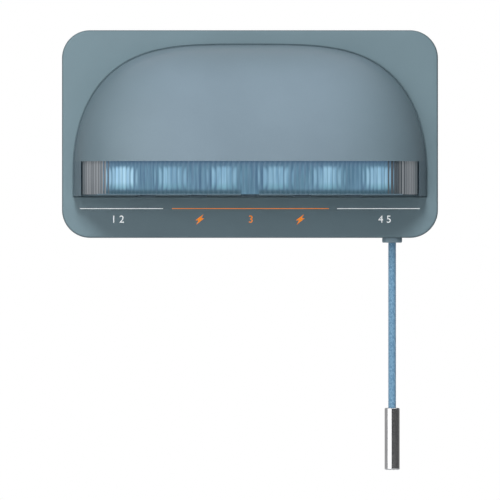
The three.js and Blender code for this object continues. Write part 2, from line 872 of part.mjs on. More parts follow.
function addFlapHinges() {
  const coilLength = flapSpringPitch * flapSpringTurns;
  const coil = new Helix(hingePinRadius + flapSpringWire + fit, coilLength, flapSpringTurns);
  console.log('least gap between flap spring turns, mm:', helixGap(coil, flapSpringWire).toFixed(2));
  for (const [name, side] of [['left', -1], ['right', 1]]) {
    const inner = side * (hingeSpread - hingeReach - coil.length - fit * 4);
    const outer = side * (hingeSpread + hingeReach + fit);
    const ends = [inner, outer].sort((a, b) => a - b);
    const pin = sidePrism(moved(circle(hingePinRadius, screwFacets), hingeY, hingeZ), ends[0], ends[1]);
    add(`flap_pin_${name}`, pin, steelPaint);
    const wire = strand(coil, flapSpringWire, wireFacets, flapSpringTurns * coilStepsPerTurn);
    const start = side * (hingeSpread - hingeReach - fit * 2);
    const place = new THREE.Matrix4().makeRotationY((-side * Math.PI) / 2).setPosition(start, hingeY, hingeZ);
    add(`flap_spring_${name}`, wire.transform(place.elements), steelPaint);
  }
}

// Brush rack

function slotOutline(x, radius, endY) {
  const seatY = frontY - slotSeatOut;
  const points = [new THREE.Vector2(x - radius, endY), new THREE.Vector2(x + radius, endY)];
  for (let i = 0; i <= roundFacets / 2; i += 1) {
    const angle = (i / (roundFacets / 2)) * Math.PI;
    points.push(new THREE.Vector2(x + radius * Math.cos(angle), seatY + radius * Math.sin(angle)));
  }
  return points;
}

function rackScrewSeat(x, radius, backY, endY) {
  return forwardRod(radius, x, between(hoodBottomZ, rackTopZ), backY, endY);
}

function addRack() {
  const reach = hoodHalfWidth - rackInset;
  const front = planCurve(rackInset, reach);
  const outline = [...front, new THREE.Vector2(reach, pocketY), new THREE.Vector2(-reach, pocketY)];
  const shelf = upPrism(outline, hoodBottomZ, rackTopZ);
  const slots = slotXs().map((x) => (
    upPrism(slotOutline(x, slotRadius, frontY - hoodDepth), hoodBottomZ - overrun, rackTopZ + overrun)
  ));
  const holes = rackScrewXs().map((x) => (
    rackScrewSeat(x, smallShankRadius + screwClearance, pocketY + overrun, innerFrontY - screwLength - fit)
  ));
  add('brush_rack', cut(shelf, ...slots, ...holes), shellPaint);
}

function addGrips() {
  slotXs().forEach((x, i) => {
    const endY = frontY - outAt(Math.abs(x) + slotRadius, rackInset) + gripFrontInset;
    const lowZ = hoodBottomZ - gripProud;
    const highZ = rackTopZ + gripProud;
    const outer = upPrism(slotOutline(x, slotRadius - fit, endY), lowZ, highZ);
    const gap = upPrism(slotOutline(x, neckGap / 2, endY - overrun), lowZ - overrun, highZ + overrun);
    add(`neck_grip_${i + 1}`, cut(outer, gap), siliconePaint);
  });
}

// Lamps

function addLamps() {
  const boardBack = innerFrontY + lampBoardThickness;
  const board = block(
    around(0, lampBoardHalfWidth),
    [innerFrontY, boardBack],
    around(lampZ, lampBoardHalfHeight),
  );
  const holes = lampScrewXs().map((x) => (
    forwardRod(smallShankRadius + screwClearance, x, lampZ, boardBack + overrun, innerFrontY - overrun)
  ));
  add('led_board', cut(board, ...holes), boardPaint);
  lampXs().forEach((x, i) => {
    const endY = innerFrontY - lampDepth;
    const lens = softSlab(lampWidth, lampHeight, lampCornerRadius, innerFrontY, endY, lampEdgeRadius);
    add(`uv_lamp_${i + 1}`, lens.translate([x, 0, lampZ]), lampPaint);
  });
  const places = lampScrewXs().map((x) => [x, lampZ]);
  addScrews('lamp_board_screw', places, boardBack, smallScrew, lampBoardThickness + bodyFrontWall / 4);
}

// Cell and control board

function addBattery() {
  const batteryWidth = bodyWidth - batterySideMargin * 2;
  const batteryHeight = halfHeight - batteryTopMargin - batteryRise;
  const tapeY = innerFrontY + batteryTapeThickness;
  const backY = tapeY + batteryThickness;
  const middleZ = batteryRise + batteryHeight / 2;
  const corner = batteryEdgeRadius * 2;
  const cell = softSlab(batteryWidth, batteryHeight, corner, backY, tapeY, batteryEdgeRadius);
  add('battery_pack', cell.translate([0, 0, middleZ]), cellPaint);
  const tape = roundedRectangle(batteryWidth - corner * 2, batteryHeight - corner * 2, batteryEdgeRadius);
  add('battery_tape', forwardPrism(moved(tape, 0, middleZ), tapeY, innerFrontY), whitePlastic);
}

function addMainBoard() {
  const right = boardLeftX + boardWidth;
  const top = boardBottomZ + boardHeight;
  const plate = block([boardLeftX, right], [boardFrontY, boardBackY], [boardBottomZ, top]);
  const chipZ = [boardBottomZ + chipHeight, boardBottomZ + chipHeight * 2];
  const chips = [1, 4].map((step) => {
    const x = boardLeftX + (boardWidth * step) / 5;
    const deep = [boardBackY - boardThickness / 2, boardBackY + chipThickness];
    return block(around(x, chipWidth / 2), deep, chipZ);
  });
  const holes = boardScrewPlaces().map(([x, z]) => (
    forwardRod(smallShankRadius + screwClearance, x, z, boardBackY + overrun, boardFrontY - overrun)
  ));
  add('main_board', cut(joined(plate, ...chips), ...holes), boardPaint);
  const middle = boardLeftX + boardWidth / 2;
  const place = [middle, boardBackY + socketThickness / 2];
  const case_ = roundedRectangle(socketWidth, socketThickness, socketCornerRadius);
  const mouthWidth = socketWidth - socketMouthWall * 2;
  const mouthThickness = socketThickness - socketMouthWall * 2;
  const mouth = roundedRectangle(mouthWidth, mouthThickness, socketCornerRadius - socketMouthWall);
  const socket = cut(
    upPrism(moved(case_, ...place), bodyFloorZ, bodyFloorZ + socketLength),
    upPrism(moved(mouth, ...place), bodyFloorZ - overrun, bodyFloorZ + socketLength - socketMouthWall * 2),
  );
  add('usb_socket', socket, steelPaint);
  const length = boardThickness + boardPostHeight / 2;
  addScrews('main_board_screw', boardScrewPlaces(), boardBackY, smallScrew, length);
}

// Pull switch

function verticalRod(radius, lowZ, highZ, facets = roundFacets) {
  return upPrism(moved(circle(radius, facets), cordX, cordY), lowZ, highZ);
}

function plungerBore(radius, leftX, rightX) {
  return sidePrism(moved(circle(radius, screwFacets), cordY, plungerZ), leftX, rightX);
}

function addSwitchFrame() {
  const deep = around(cordY, frameDepth / 2);
  const outer = block(around(cordX, frameOuterWidth / 2), deep, [frameBottomZ, frameTopZ]);
  const room = block(
    around(cordX, sliderWidth / 2 + fit),
    around(cordY, frameDepth / 2 + overrun),
    [frameBottomZ + frameEndBar, frameTopZ - frameEndBar],
  );
  const cordHole = verticalRod(cordBore, frameBottomZ - overrun, frameBottomZ + frameEndBar + overrun);
  const plungerHole = plungerBore(plungerRadius + screwClearance, switchRightX, cordX);
  add('switch_frame', cut(outer, room, cordHole, plungerHole), blackPlastic);
}

function addSlider() {
  const right = cordX + sliderWidth / 2;
  const outline = [
    new THREE.Vector2(sliderLeftX + sliderRamp, sliderBottomZ),
    new THREE.Vector2(right, sliderBottomZ),
    new THREE.Vector2(right, sliderTopZ),
    new THREE.Vector2(sliderLeftX, sliderTopZ),
  ];
  const solid = forwardPrism(outline, cordY + sliderDepth / 2, cordY - sliderDepth / 2);
  const bore = verticalRod(cordBore, sliderBottomZ - overrun, sliderTopZ + overrun);
  const pocket = verticalRod(knotRadius + fit, sliderTopZ - knotPocketDepth, sliderTopZ + overrun);
  add('pull_slider', cut(solid, bore, pocket), whitePlastic);
  const knot = new THREE.SphereGeometry(knotRadius, screwFacets, screwFacets / 2);
  add('cord_knot', toSolid(knot.translate(cordX, cordY, knotZ)), cordPaint);
  const cordTopZ = knotZ - knotRadius - fit;
  add('inner_cord', verticalRod(cordRadius, grommetZ + innerCordRecess, cordTopZ, screwFacets), cordPaint);
}

function addReturnSpring() {
  const coil = new Helix(springRadius, springLength - springWire * 2, springTurns);
  console.log('least gap between return spring turns, mm:', helixGap(coil, springWire).toFixed(2));
  const wire = strand(coil, springWire, wireFacets, springTurns * coilStepsPerTurn);
  add('return_spring', wire.translate([cordX, cordY, springBottomZ + springWire]), steelPaint);
}

function addMicroSwitch() {
  const leftX = switchRightX - switchWidth;
  const tall = around(plungerZ, switchHeight / 2);
  const case_ = block([leftX, switchRightX], around(cordY, switchDepth / 2), tall);
  const boreLeftX = plungerTipX - plungerLength - sliderRamp - fit;
  const bore = plungerBore(plungerRadius + screwClearance, boreLeftX, switchRightX + overrun);
  add('micro_switch', cut(case_, bore), blackPlastic);
  const plunger = plungerBore(plungerRadius, plungerTipX - plungerLength, plungerTipX);
  add('switch_plunger', plunger, whitePlastic);
}

// Bushing, cord and weight

function addGrommet() {
  const topZ = bodyFloorZ + grommetLipHeight;
  const neck = grommetNeckRadius;
  const profile = [
    [cordBore, grommetZ],
    [grommetRadius - grommetEdgeRadius, grommetZ],
    [grommetRadius, grommetZ + grommetEdgeRadius],
    [grommetRadius, -halfHeight],
    [neck, -halfHeight],
    [neck, bodyFloorZ],
    [grommetLipRadius, bodyFloorZ],
    [neck, topZ],
    [cordBore, topZ],
    [cordBore, grommetZ],
  ];
  const ring = new THREE.LatheGeometry(profile.map(([r, z]) => new THREE.Vector2(r, z)), roundFacets);
  add('cord_grommet', toSolid(ring.applyMatrix4(forward).translate(cordX, cordY, 0)), siliconePaint);
}

function addPullCord() {
  const route = new THREE.CatmullRomCurve3(cordRoute.map((point) => new THREE.Vector3(...point)));
  add('pull_cord', strand(route, cordRadius, cordFacets, cordRoute.length - 1), cordPaint);
}

function addWeight() {
  const cordEndZ = cordRoute[cordRoute.length - 1][2];
  const socketFloorZ = cordEndZ - cordEndGap;
  const topZ = socketFloorZ + weightSocketDepth;
  const bottomZ = topZ - weightLength;
  const edge = weightEdgeRadius;
  const profile = [
    [0, bottomZ],
    [weightRadius - edge, bottomZ],
    [weightRadius - edge / 3, bottomZ + edge / 3],
    [weightRadius, bottomZ + edge],
    [weightRadius, topZ - edge],
    [weightRadius - edge / 3, topZ - edge / 3],
    [weightRadius - edge, topZ],
    [cordBore, topZ],
    [cordBore, socketFloorZ],
    [0, socketFloorZ],
  ];
  const bar = new THREE.LatheGeometry(profile.map(([r, z]) => new THREE.Vector2(r, z)), roundFacets);
  add('pull_weight', toSolid(bar.applyMatrix4(forward).translate(cordX, cordY, 0)), steelPaint);
}

// Wires inside the body, each held along its whole way

function addWire(name, points) {
  const route = new THREE.CatmullRomCurve3(points.map((point) => new THREE.Vector3(...point)));
  add(name, strand(route, wireRadius, wireFacets, points.length * wireStepsPerPoint), wirePaint);
}

function addWires() {
  const wireY = boardBackY + wireRadius + fit;
  const boardTopZ = boardBottomZ + boardHeight;
  const boardRightX = boardLeftX + boardWidth;
  const lampBackY = innerFrontY + lampBoardThickness + wireRadius + fit;
  const batteryX = boardRightX - boardPostInset * 2;
  const batteryEndZ = batteryRise - fit;
  const middleZ = between(boardTopZ, batteryEndZ);
  const cellY = innerFrontY + batteryTapeThickness + batteryThickness / 2;
  addWire('battery_lead', [
    [batteryX, cellY, batteryEndZ],
    [batteryX, between(cellY, wireY), batteryEndZ - wireRadius * 4],
    [batteryX, wireY, middleZ],
    [batteryX, wireY, boardTopZ - boardPostInset],
  ]);
  const lampX = boardLeftX + boardWidth / 3;
  addWire('lamp_lead', [
    [lampX, wireY, boardTopZ - boardPostInset],
    [lampX, wireY, boardTopZ],
    [lampX, between(wireY, lampBackY), lampZ - lampBoardHalfHeight - wireRadius],
    [lampX, lampBackY, lampZ - lampBoardHalfHeight + wireRadius * 3],
  ]);
  const switchLeftX = switchRightX - switchWidth - fit;
  addWire('switch_lead', [
    [boardRightX + fit, between(boardFrontY, boardBackY), plungerZ],
    [between(boardRightX, switchLeftX), cordY, plungerZ - wireRadius * 2],
    [switchLeftX, cordY, plungerZ],
  ]);
}

addWallBracket();
addRearCover();
addFrontShell();
addHood();
addGasket();
addLiner();
addFlap();
addFlapHinges();
addRack();
addGrips();
addLamps();
addBattery();
addMainBoard();
addSwitchFrame();
addSlider();
addReturnSpring();
addMicroSwitch();
addGrommet();
addPullCord();
addWeight();
addWires();
addScrews('hood_screw', hoodBossPlaces(), innerFrontY, insideScrew, screwLength);
const rackScrewPlaces = rackScrewXs().map((x) => [x, between(hoodBottomZ, rackTopZ)]);
addScrews('rack_screw', rackScrewPlaces, innerFrontY, smallScrew, screwLength);

export default assembly;
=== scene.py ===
import math

import bpy
import numpy as np
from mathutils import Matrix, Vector


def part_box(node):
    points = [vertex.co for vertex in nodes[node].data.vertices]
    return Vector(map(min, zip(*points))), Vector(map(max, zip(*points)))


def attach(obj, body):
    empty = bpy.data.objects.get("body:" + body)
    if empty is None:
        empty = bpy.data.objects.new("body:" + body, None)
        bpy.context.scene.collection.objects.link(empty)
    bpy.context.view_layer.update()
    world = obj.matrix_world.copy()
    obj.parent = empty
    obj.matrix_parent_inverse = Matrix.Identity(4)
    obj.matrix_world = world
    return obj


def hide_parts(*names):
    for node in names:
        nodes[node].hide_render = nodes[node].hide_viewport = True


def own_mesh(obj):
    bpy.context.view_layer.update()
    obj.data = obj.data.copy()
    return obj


# A wall-mounted toothbrush sterilizer with a pull cord. Lengths are in metres. The origin is on the
# wall behind the middle of the body, +Z is up, and the front looks along -Y.

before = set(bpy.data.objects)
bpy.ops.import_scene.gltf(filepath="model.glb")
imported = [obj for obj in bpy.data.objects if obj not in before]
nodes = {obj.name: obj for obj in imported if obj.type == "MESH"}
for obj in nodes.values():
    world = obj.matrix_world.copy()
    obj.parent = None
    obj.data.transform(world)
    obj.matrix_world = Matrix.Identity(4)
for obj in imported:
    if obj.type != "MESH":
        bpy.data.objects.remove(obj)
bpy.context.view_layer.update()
scene = bpy.context.scene
scene.view_settings.view_transform = "Standard"


# Camera. It looks straight at the front through a very long lens, so the picture has hardly any
# perspective. The body fills its upper half and the weight hangs at its lower edge.

picture_width = 0.3005
picture_middle_z = -0.0697
plate_front_y = -0.0165
camera_distance = 8.0
sensor_width = 36
camera_place = (0, plate_front_y - camera_distance, picture_middle_z)
bpy.ops.object.camera_add(location=camera_place, rotation=(math.pi / 2, 0, 0))
camera = bpy.context.object
camera.name = "camera"
camera.data.sensor_width = sensor_width
camera.data.lens = sensor_width * camera_distance / picture_width
camera.data.clip_end = 40
scene.camera = camera


# Pull cord. A limp round braid of blue melange polyester, 4.7 mm thick, that hangs straight down from
# the bushing into the weight's socket. Sixteen strands each way cross over and under one another.

cord_x, cord_y = 0.0855, -0.00885
cord_levels = [-0.0653, -0.072, -0.079, -0.086, -0.093, -0.1, -0.107, -0.114]
cord_levels += [-0.121, -0.128, -0.135, -0.142, -0.149, -0.156, -0.162, -0.1677]
cord_top_z, cord_end_z = cord_levels[0], cord_levels[-1]
cord_radius = 0.00235
braid_strands = 16
braid_pitch = 0.0025
braid_steps = 6
braid_depth = 0.00028
strand_level = 0.62


def deselect():
    """Leaves nothing selected."""
    bpy.ops.object.select_all(action="DESELECT")


def choose(*chosen):
    """Selects these objects alone, the first of them active."""
    deselect()
    for obj in chosen:
        obj.select_set(True)
    bpy.context.view_layer.objects.active = chosen[0]


def edit(obj, kind="VERT"):
    """Opens edit mode on one object, with what was picked in object mode."""
    choose(obj)
    bpy.context.tool_settings.mesh_select_mode = [kind == each for each in ("VERT", "EDGE", "FACE")]
    bpy.ops.object.mode_set(mode="EDIT")


def close_edit():
    """Goes back to object mode."""
    bpy.ops.object.mode_set(mode="OBJECT")


def tidy(obj, name, smooth_angle=35):
    """Merges doubles, drops flat faces, closes holes, applies the place, and smooths below an angle."""
    edit(obj)
    bpy.ops.mesh.select_all(action="SELECT")
    bpy.ops.mesh.remove_doubles(threshold=1e-6)
    bpy.ops.mesh.dissolve_degenerate(threshold=1e-6)
    bpy.ops.mesh.fill_holes(sides=0)
    bpy.ops.mesh.normals_make_consistent(inside=False)
    close_edit()
    bpy.ops.object.transform_apply(location=True, rotation=True, scale=True)
    bpy.ops.object.shade_smooth_by_angle(angle=math.radians(smooth_angle))
    obj.name = obj.data.name = name
    return obj


def finish_piece(obj, material, body, slot, *replaced):
    """Gives a piece its one material and its body, and hides the CAD nodes that it stands for. The slot is
    not used.
    """
    if material:
        obj.data.materials.clear()
        obj.data.materials.append(material)
    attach(obj, body)
    if replaced:
        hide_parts(*replaced)


def shaped_grid(columns, rows, place):
    """A grid of faces whose corners place(column, row) moves to where they belong."""
    deselect()
    bpy.ops.mesh.primitive_grid_add(x_subdivisions=columns, y_subdivisions=rows, size=1)
    obj = bpy.context.object
    corners = np.empty(len(obj.data.vertices) * 3)
    obj.data.vertices.foreach_get("co", corners)
    corners = corners.reshape(-1, 3)
    column = np.rint((corners[:, 0] + 0.5) * columns)
    row = np.rint((corners[:, 1] + 0.5) * rows)
    moved = np.stack(place(column, row), axis=1)
    obj.data.vertices.foreach_set("co", moved.ravel())
    obj.data.update()
    return obj


def braid_height(around, along):
    """Height from 0 to 1 of crossing strands, and a key for the strand on top at each crossing."""
    first, second = around + along, around - along
    i, j = np.floor(first), np.floor(second)
    first_round = np.sqrt(np.clip(1 - (2 * (first - i) - 1) ** 2, 0, 1))
    second_round = np.sqrt(np.clip(1 - (2 * (second - j) - 1) ** 2, 0, 1))
    first_height = first_round * (strand_level + (1 - strand_level) * np.cos(np.pi * (second - 0.5 + i)))
    second_height = second_round * (strand_level - (1 - strand_level) * np.cos(np.pi * (first - 0.5 + j)))
    first_key = (i % braid_strands) * 12.9898 + (j % braid_strands) * 3.7131
    second_key = (j % braid_strands) * 7.2339 + (i % braid_strands) * 5.1747 + 61.7
    on_top = np.where(first_height > second_height, first_key, second_key)
    return np.maximum(first_height, second_height), on_top


def braided(name, low_z, high_z, radius_at):
    """A braided form round the cord's line, from low_z up to high_z."""
    columns = braid_strands * braid_steps
    cells = round((high_z - low_z) / braid_pitch * 2)
    rows = cells * braid_steps
    kept = {}

    def place(column, row):
        height, on_top = braid_height(column / columns * braid_strands, row / rows * cells)
        kept["strand_height"] = height
        # Each crossing gets a tone of its own, as melange yarn shows
        kept["strand_tone"] = np.abs(np.modf(np.sin(on_top) * 43758.5453)[0])
        radius = radius_at(row / rows) - braid_depth * (1 - height)
        angle = column / columns * 2 * np.pi
        z = low_z + (high_z - low_z) * row / rows
        return cord_x + radius * np.cos(angle), cord_y + radius * np.sin(angle), z

    obj = shaped_grid(columns, rows, place)
    for label, values in kept.items():
        attribute = obj.data.attributes.new(label, "FLOAT", "POINT")
        attribute.data.foreach_set("value", np.asarray(values, np.float32))
    return tidy(obj, name, 80)


def srgb(*rgb):
    """A colour of 0 to 255 as Blender's linear values."""
    shares = [value / 255 for value in rgb]
    return tuple(s / 12.92 if s <= 0.04045 else ((s + 0.055) / 1.055) ** 2.4 for s in shares) + (1.0,)


def put(tree, kind, inputs=None, **settings):
    """A shader node with its settings. Its inputs are plain values or other nodes' outputs."""
    made = tree.nodes.new("ShaderNode" + kind)
    for key, value in settings.items():
        setattr(made, key, value)
    for key, value in (inputs or {}).items():
        if isinstance(value, bpy.types.NodeSocket):
            tree.links.new(value, made.inputs[key])
        else:
            made.inputs[key].default_value = value
    return made


def calc(operation, *values):
    """One step of arithmetic on outputs and plain values."""
    tree = next(value.id_data for value in values if isinstance(value, bpy.types.NodeSocket))
    return put(tree, "Math", dict(enumerate(values)), operation=operation).outputs[0]


def ramp(value, low, high, start=0.0, end=1.0):
    """A value that eases from start at low to end at high."""
    inputs = {"Value": value, "From Min": low, "From Max": high, "To Min": start, "To Max": end}
    return put(value.id_data, "MapRange", inputs, interpolation_type="SMOOTHSTEP").outputs[0]


def mix(factor, first, second):
    """Two colours mixed by a factor."""
    return put(factor.id_data, "Mix", {0: factor, 6: first, 7: second}, data_type="RGBA").outputs[2]


def stretched(place, scale):
    """A place for a pattern that is drawn out along one axis."""
    return put(place.id_data, "Mapping", {"Vector": place, "Scale": scale}).outputs[0]


def noise(place, scale, detail, distortion=0.0):
    """A cloudy pattern from 0 to 1."""
    inputs = {"Vector": place, "Scale": scale, "Detail": detail, "Distortion": distortion}
    return put(place.id_data, "TexNoise", inputs).outputs["Fac"]


def relief(height, strength, distance):
    """A bump that follows a pattern."""
    inputs = {"Height": height, "Strength": strength, "Distance": distance}
    return put(height.id_data, "Bump", inputs).outputs[0]


def new_material(name):
    """An empty material."""
    material = bpy.data.materials.new(name)
    material.use_nodes = True
    material.node_tree.nodes.clear()
    return material


def new_finish(name):
    """An empty material, and the place on the object for its patterns."""
    material = new_material(name)
    return material, put(material.node_tree, "TexCoord").outputs["Object"]


def finish_material(material, **inputs):
    """The Principled shader with its inputs, named with _ for each space, and the output."""
    tree = material.node_tree
    shader = put(tree, "BsdfPrincipled", {key.replace("_", " "): value for key, value in inputs.items()})
    put(tree, "OutputMaterial", {0: shader.outputs[0]})


cord_material, coords = new_finish("blue_braid")
height, tone = (
    put(cord_material.node_tree, "Attribute", attribute_name=label).outputs["Fac"]
    for label in ("strand_height", "strand_tone")
)
fibre = noise(stretched(coords, (1, 1, 0.35)), 9000.0, 2.0)
strand_colour = mix(tone, srgb(84, 134, 172), srgb(146, 190, 217))
# The strands are painted darker where they dip under the crossing ones: painted shade in the braid's crevices
crevice_shaded_colour = mix(ramp(height, 0.25, 0.85), srgb(62, 100, 132), strand_colour)
finish_material(
    cord_material,
    Base_Color=mix(ramp(fibre, 0.35, 0.65, 0.0, 0.22), crevice_shaded_colour, srgb(160, 198, 220)),
    Roughness=0.78,
    Normal=relief(fibre, 0.35, 0.00008),
    Sheen_Weight=0.25,
    Sheen_Roughness=0.5,
)

cord = braided("braided_cord", cord_end_z, cord_top_z, lambda share: cord_radius)
finish_piece(cord, cord_material, "cord", "cord_fabric", "pull_cord")


# Weight. A turned steel bar with rounded ends and a socket in its top that grips the cord's end.
# Its side is polished, with faint turning marks round it.

weight_radius = 0.0045
weight_edge = 0.0007
ring_inset = weight_edge * 1.3
socket_radius = 0.0027
socket_depth = 0.0034


def rod(middle, length, radius, facets, turn=(0, 0, 0)):
    """A round rod along Z, or turned to another way."""
    deselect()
    bpy.ops.mesh.primitive_cylinder_add(
        vertices=facets, radius=radius, depth=length, location=middle, rotation=turn
    )
    bpy.ops.object.transform_apply(location=True, rotation=True, scale=True)
    return bpy.context.object


def pick(obj, kind, chosen):
    """Selects the faces or edges whose direction is one that chosen() looks for."""
    mesh = obj.data
    for items in (mesh.vertices, mesh.edges, mesh.polygons):
        items.foreach_set("select", [False] * len(items))
    if kind == "FACE":
        for face in mesh.polygons:
            face.select = chosen(face.normal)
    else:
        for edge in mesh.edges:
            low, high = (mesh.vertices[i].co for i in edge.vertices)
            edge.select = chosen((high - low).normalized())
    edit(obj, kind)


def bevel(obj, kind, chosen, width, segments):
    """Rounds the picked edges, or the picked faces' edges."""
    pick(obj, kind, chosen)
    bpy.ops.mesh.bevel(offset=width, segments=segments, affect="EDGES")
    close_edit()


def uneven_finish(material, tone, wear, tints, roughness, bump, glow=0.0, **others):
    """A colour between two tints by one pattern, and roughness and relief by another."""
    colour = mix(ramp(tone, 0.3, 0.7), *tints)
    if glow:
        others.update(Emission_Color=colour, Emission_Strength=glow)
    finish_material(
        material,
        Base_Color=colour,
        Roughness=ramp(wear, 0.3, 0.7, *roughness),
        Normal=relief(wear, *bump),
        **others,
    )


weight_low, weight_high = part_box("pull_weight")
weight_middle = (cord_x, cord_y, (weight_high.z + weight_low.z) / 2)
weight = rod(weight_middle, weight_high.z - weight_low.z, weight_radius, 96)
bevel(weight, "FACE", lambda normal: abs(normal.z) > 0.9, weight_edge, 5)
pick(weight, "FACE", lambda normal: normal.z > 0.99)
bpy.ops.mesh.inset(thickness=weight_radius - weight_edge - socket_radius)
bpy.ops.mesh.extrude_region_move(TRANSFORM_OT_translate={"value": (0, 0, -socket_depth)})
close_edit()
for z in (weight_low.z + ring_inset, weight_high.z - ring_inset):
    edit(weight)
    bpy.ops.mesh.select_all(action="SELECT")
    bpy.ops.mesh.bisect(plane_co=(0, 0, z), plane_no=(0, 0, 1))
    close_edit()
tidy(weight, "steel_weight", 40)

steel_material, coords = new_finish("turned_steel")
marks = noise(stretched(coords, (1, 1, 40)), 160.0, 3.0)
smear = noise(coords, 210.0, 2.0)
steel_tints = (0.82, 0.82, 0.83, 1), (0.77, 0.77, 0.785, 1)
uneven_finish(steel_material, smear, marks, steel_tints, (0.1, 0.17), (0.02, 0.00005), Metallic=1.0)
finish_piece(weight, steel_material, "cord", "polished_steel", "pull_weight")


# Cord inside the housing. The same braid runs up from the free cord's top, through the spring and the
# slider, and its knot sits in the slider's pocket, so that a pull on the cord brings the slider down.

cord_overlap = 0.0006
overlap_step = 0.0002
wrap_rise = 0.07
inner_low_z = cord_top_z - cord_overlap
inner_high_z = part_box("inner_cord")[1].z
knot_low, knot_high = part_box("cord_knot")
knot_radius = (knot_high.z - knot_low.z) / 2


def inner_shape(share):
    """The cord's radius, a little less where its lower end enters the free cord."""
    entered = share < cord_overlap / (inner_high_z - inner_low_z)
    return np.where(entered, cord_radius - overlap_step, cord_radius)


def knot_shape(share):
    """Two rounded wraps, one over the other, that narrow to the knot's ends."""
    ball = np.sqrt(np.clip(1 - (2 * share - 1) ** 2, 0.0, 1))
    return braid_depth + knot_radius * ball * (1 - wrap_rise + wrap_rise * np.cos(share * 4 * np.pi))


inner_cord = braided("braided_cord_inside", inner_low_z, inner_high_z, inner_shape)
finish_piece(inner_cord, cord_material, "pull", "cord_fabric", "inner_cord")
knot = braided("cord_knot_wraps", knot_low.z, knot_high.z, knot_shape)
finish_piece(knot, cord_material, "pull", "cord_fabric", "cord_knot")


# Front shell. A shallow rounded tray of blue-grey ABS with a fine spark-eroded texture, moulded in
# one piece. The hood stands in a shallow pocket, whose edge shows as the seam round it.

grain_group = bpy.data.node_groups.new("moulded_grain", "ShaderNodeTree")
grain_sockets = {
    "INPUT": {"Colour": "Color", "Roughness": "Float", "Fineness": "Float", "Depth": "Float"},
    "OUTPUT": {"Colour": "Color", "Roughness": "Float", "Normal": "Vector"},
}
for way, sockets in grain_sockets.items():
    for label, kind in sockets.items():
        grain_group.interface.new_socket(name=label, in_out=way, socket_type="NodeSocket" + kind)
start = grain_group.nodes.new("NodeGroupInput").outputs
end = grain_group.nodes.new("NodeGroupOutput").inputs
coords = put(grain_group, "TexCoord").outputs["Object"]
fine = noise(coords, start["Fineness"], 2.0)
cloud = noise(coords, 22.0, 3.0)
shade = calc("MULTIPLY", ramp(cloud, 0.3, 0.7, 0.965, 1.03), ramp(fine, 0.25, 0.75, 0.97, 1.03))
tinted = put(grain_group, "VectorMath", {0: start["Colour"], "Scale": shade}, operation="SCALE")
rough = calc("ADD", start["Roughness"], ramp(cloud, 0.3, 0.7, -0.05, 0.05))
grain_group.links.new(tinted.outputs[0], end["Colour"])
grain_group.links.new(rough, end["Roughness"])
grain_group.links.new(relief(fine, start["Depth"], 0.0001), end["Normal"])


def finish_moulded(material, colour, roughness, fineness, depth, specular=0.3):
    """Finishes a material with the moulded grain."""
    values = {"Colour": colour, "Roughness": roughness, "Fineness": fineness, "Depth": depth}
    grain = put(material.node_tree, "Group", values, node_tree=grain_group).outputs
    finish_material(
        material,
        Base_Color=grain["Colour"],
        Roughness=grain["Roughness"],
        Normal=grain["Normal"],
        Specular_IOR_Level=specular,
    )
    return material


def moulded_material(name, colour, *values):
    """A plastic or rubber of one colour, with the moulded grain."""
    return finish_moulded(new_material(name), srgb(*colour), *values)


def parts(place):
    """A place's x, y and z."""
    return put(place.id_data, "SeparateXYZ", {"Vector": place}).outputs


def dress(material, *names):
    """Gives CAD nodes a material in place of their own."""
    for name in names:
        nodes[name].data.materials.clear()
        nodes[name].data.materials.append(material)


def boolean(obj, tool, operation="DIFFERENCE"):
    """Cuts the tool out of the object, or joins it on, and removes the tool."""
    choose(obj)
    step = obj.modifiers.new("shape", "BOOLEAN")
    step.object = tool
    step.operation = operation
    step.solver = "EXACT"
    bpy.ops.object.modifier_apply(modifier=step.name)
    bpy.data.objects.remove(tool)


def box_tool(low, high):
    """A box from its lowest to its highest corner."""
    deselect()
    middle = [(a + b) / 2 for a, b in zip(low, high)]
    sides = [b - a for a, b in zip(low, high)]
    bpy.ops.mesh.primitive_cube_add(size=1, location=middle, scale=sides)
    bpy.ops.object.transform_apply(location=True, rotation=True, scale=True)
    return bpy.context.object


def rounded_slab(low, high, corner, segments, front_edge=0.0, back_edge=0.0, edge_segments=4):
    """A slab whose four corners seen from the front are round, and its front or back edge too."""
    slab = box_tool(low, high)
    bevel(slab, "EDGE", lambda direction: abs(direction.y) > 0.99, corner, segments)
    for facing, width in ((-1, front_edge), (1, back_edge)):
        if width:
            bevel(slab, "FACE", lambda normal: normal.y * facing > 0.99, width, edge_segments)
    return slab


def level_rod(x, z, back_y, end_y, radius, facets=32):
    """A round rod along Y."""
    return rod((x, (back_y + end_y) / 2, z), back_y - end_y, radius, facets, (math.pi / 2, 0, 0))


def prism(outline, push):
    """A flat outline of corners, pushed along one direction into a solid."""
    deselect()
    bpy.ops.mesh.primitive_circle_add(vertices=len(outline), fill_type="NGON")
    obj = bpy.context.object
    obj.data.vertices.foreach_set("co", np.asarray(outline, np.float64).ravel())
    obj.data.update()
    edit(obj, "FACE")
    bpy.ops.mesh.select_all(action="SELECT")
    bpy.ops.mesh.extrude_region_move(TRANSFORM_OT_translate={"value": push})
    bpy.ops.mesh.select_all(action="SELECT")
    bpy.ops.mesh.normals_make_consistent(inside=False)
    close_edit()
    return obj


def join(pieces):
    """Several pieces made one object."""
    choose(*pieces)
    bpy.ops.object.join()
    return pieces[0]


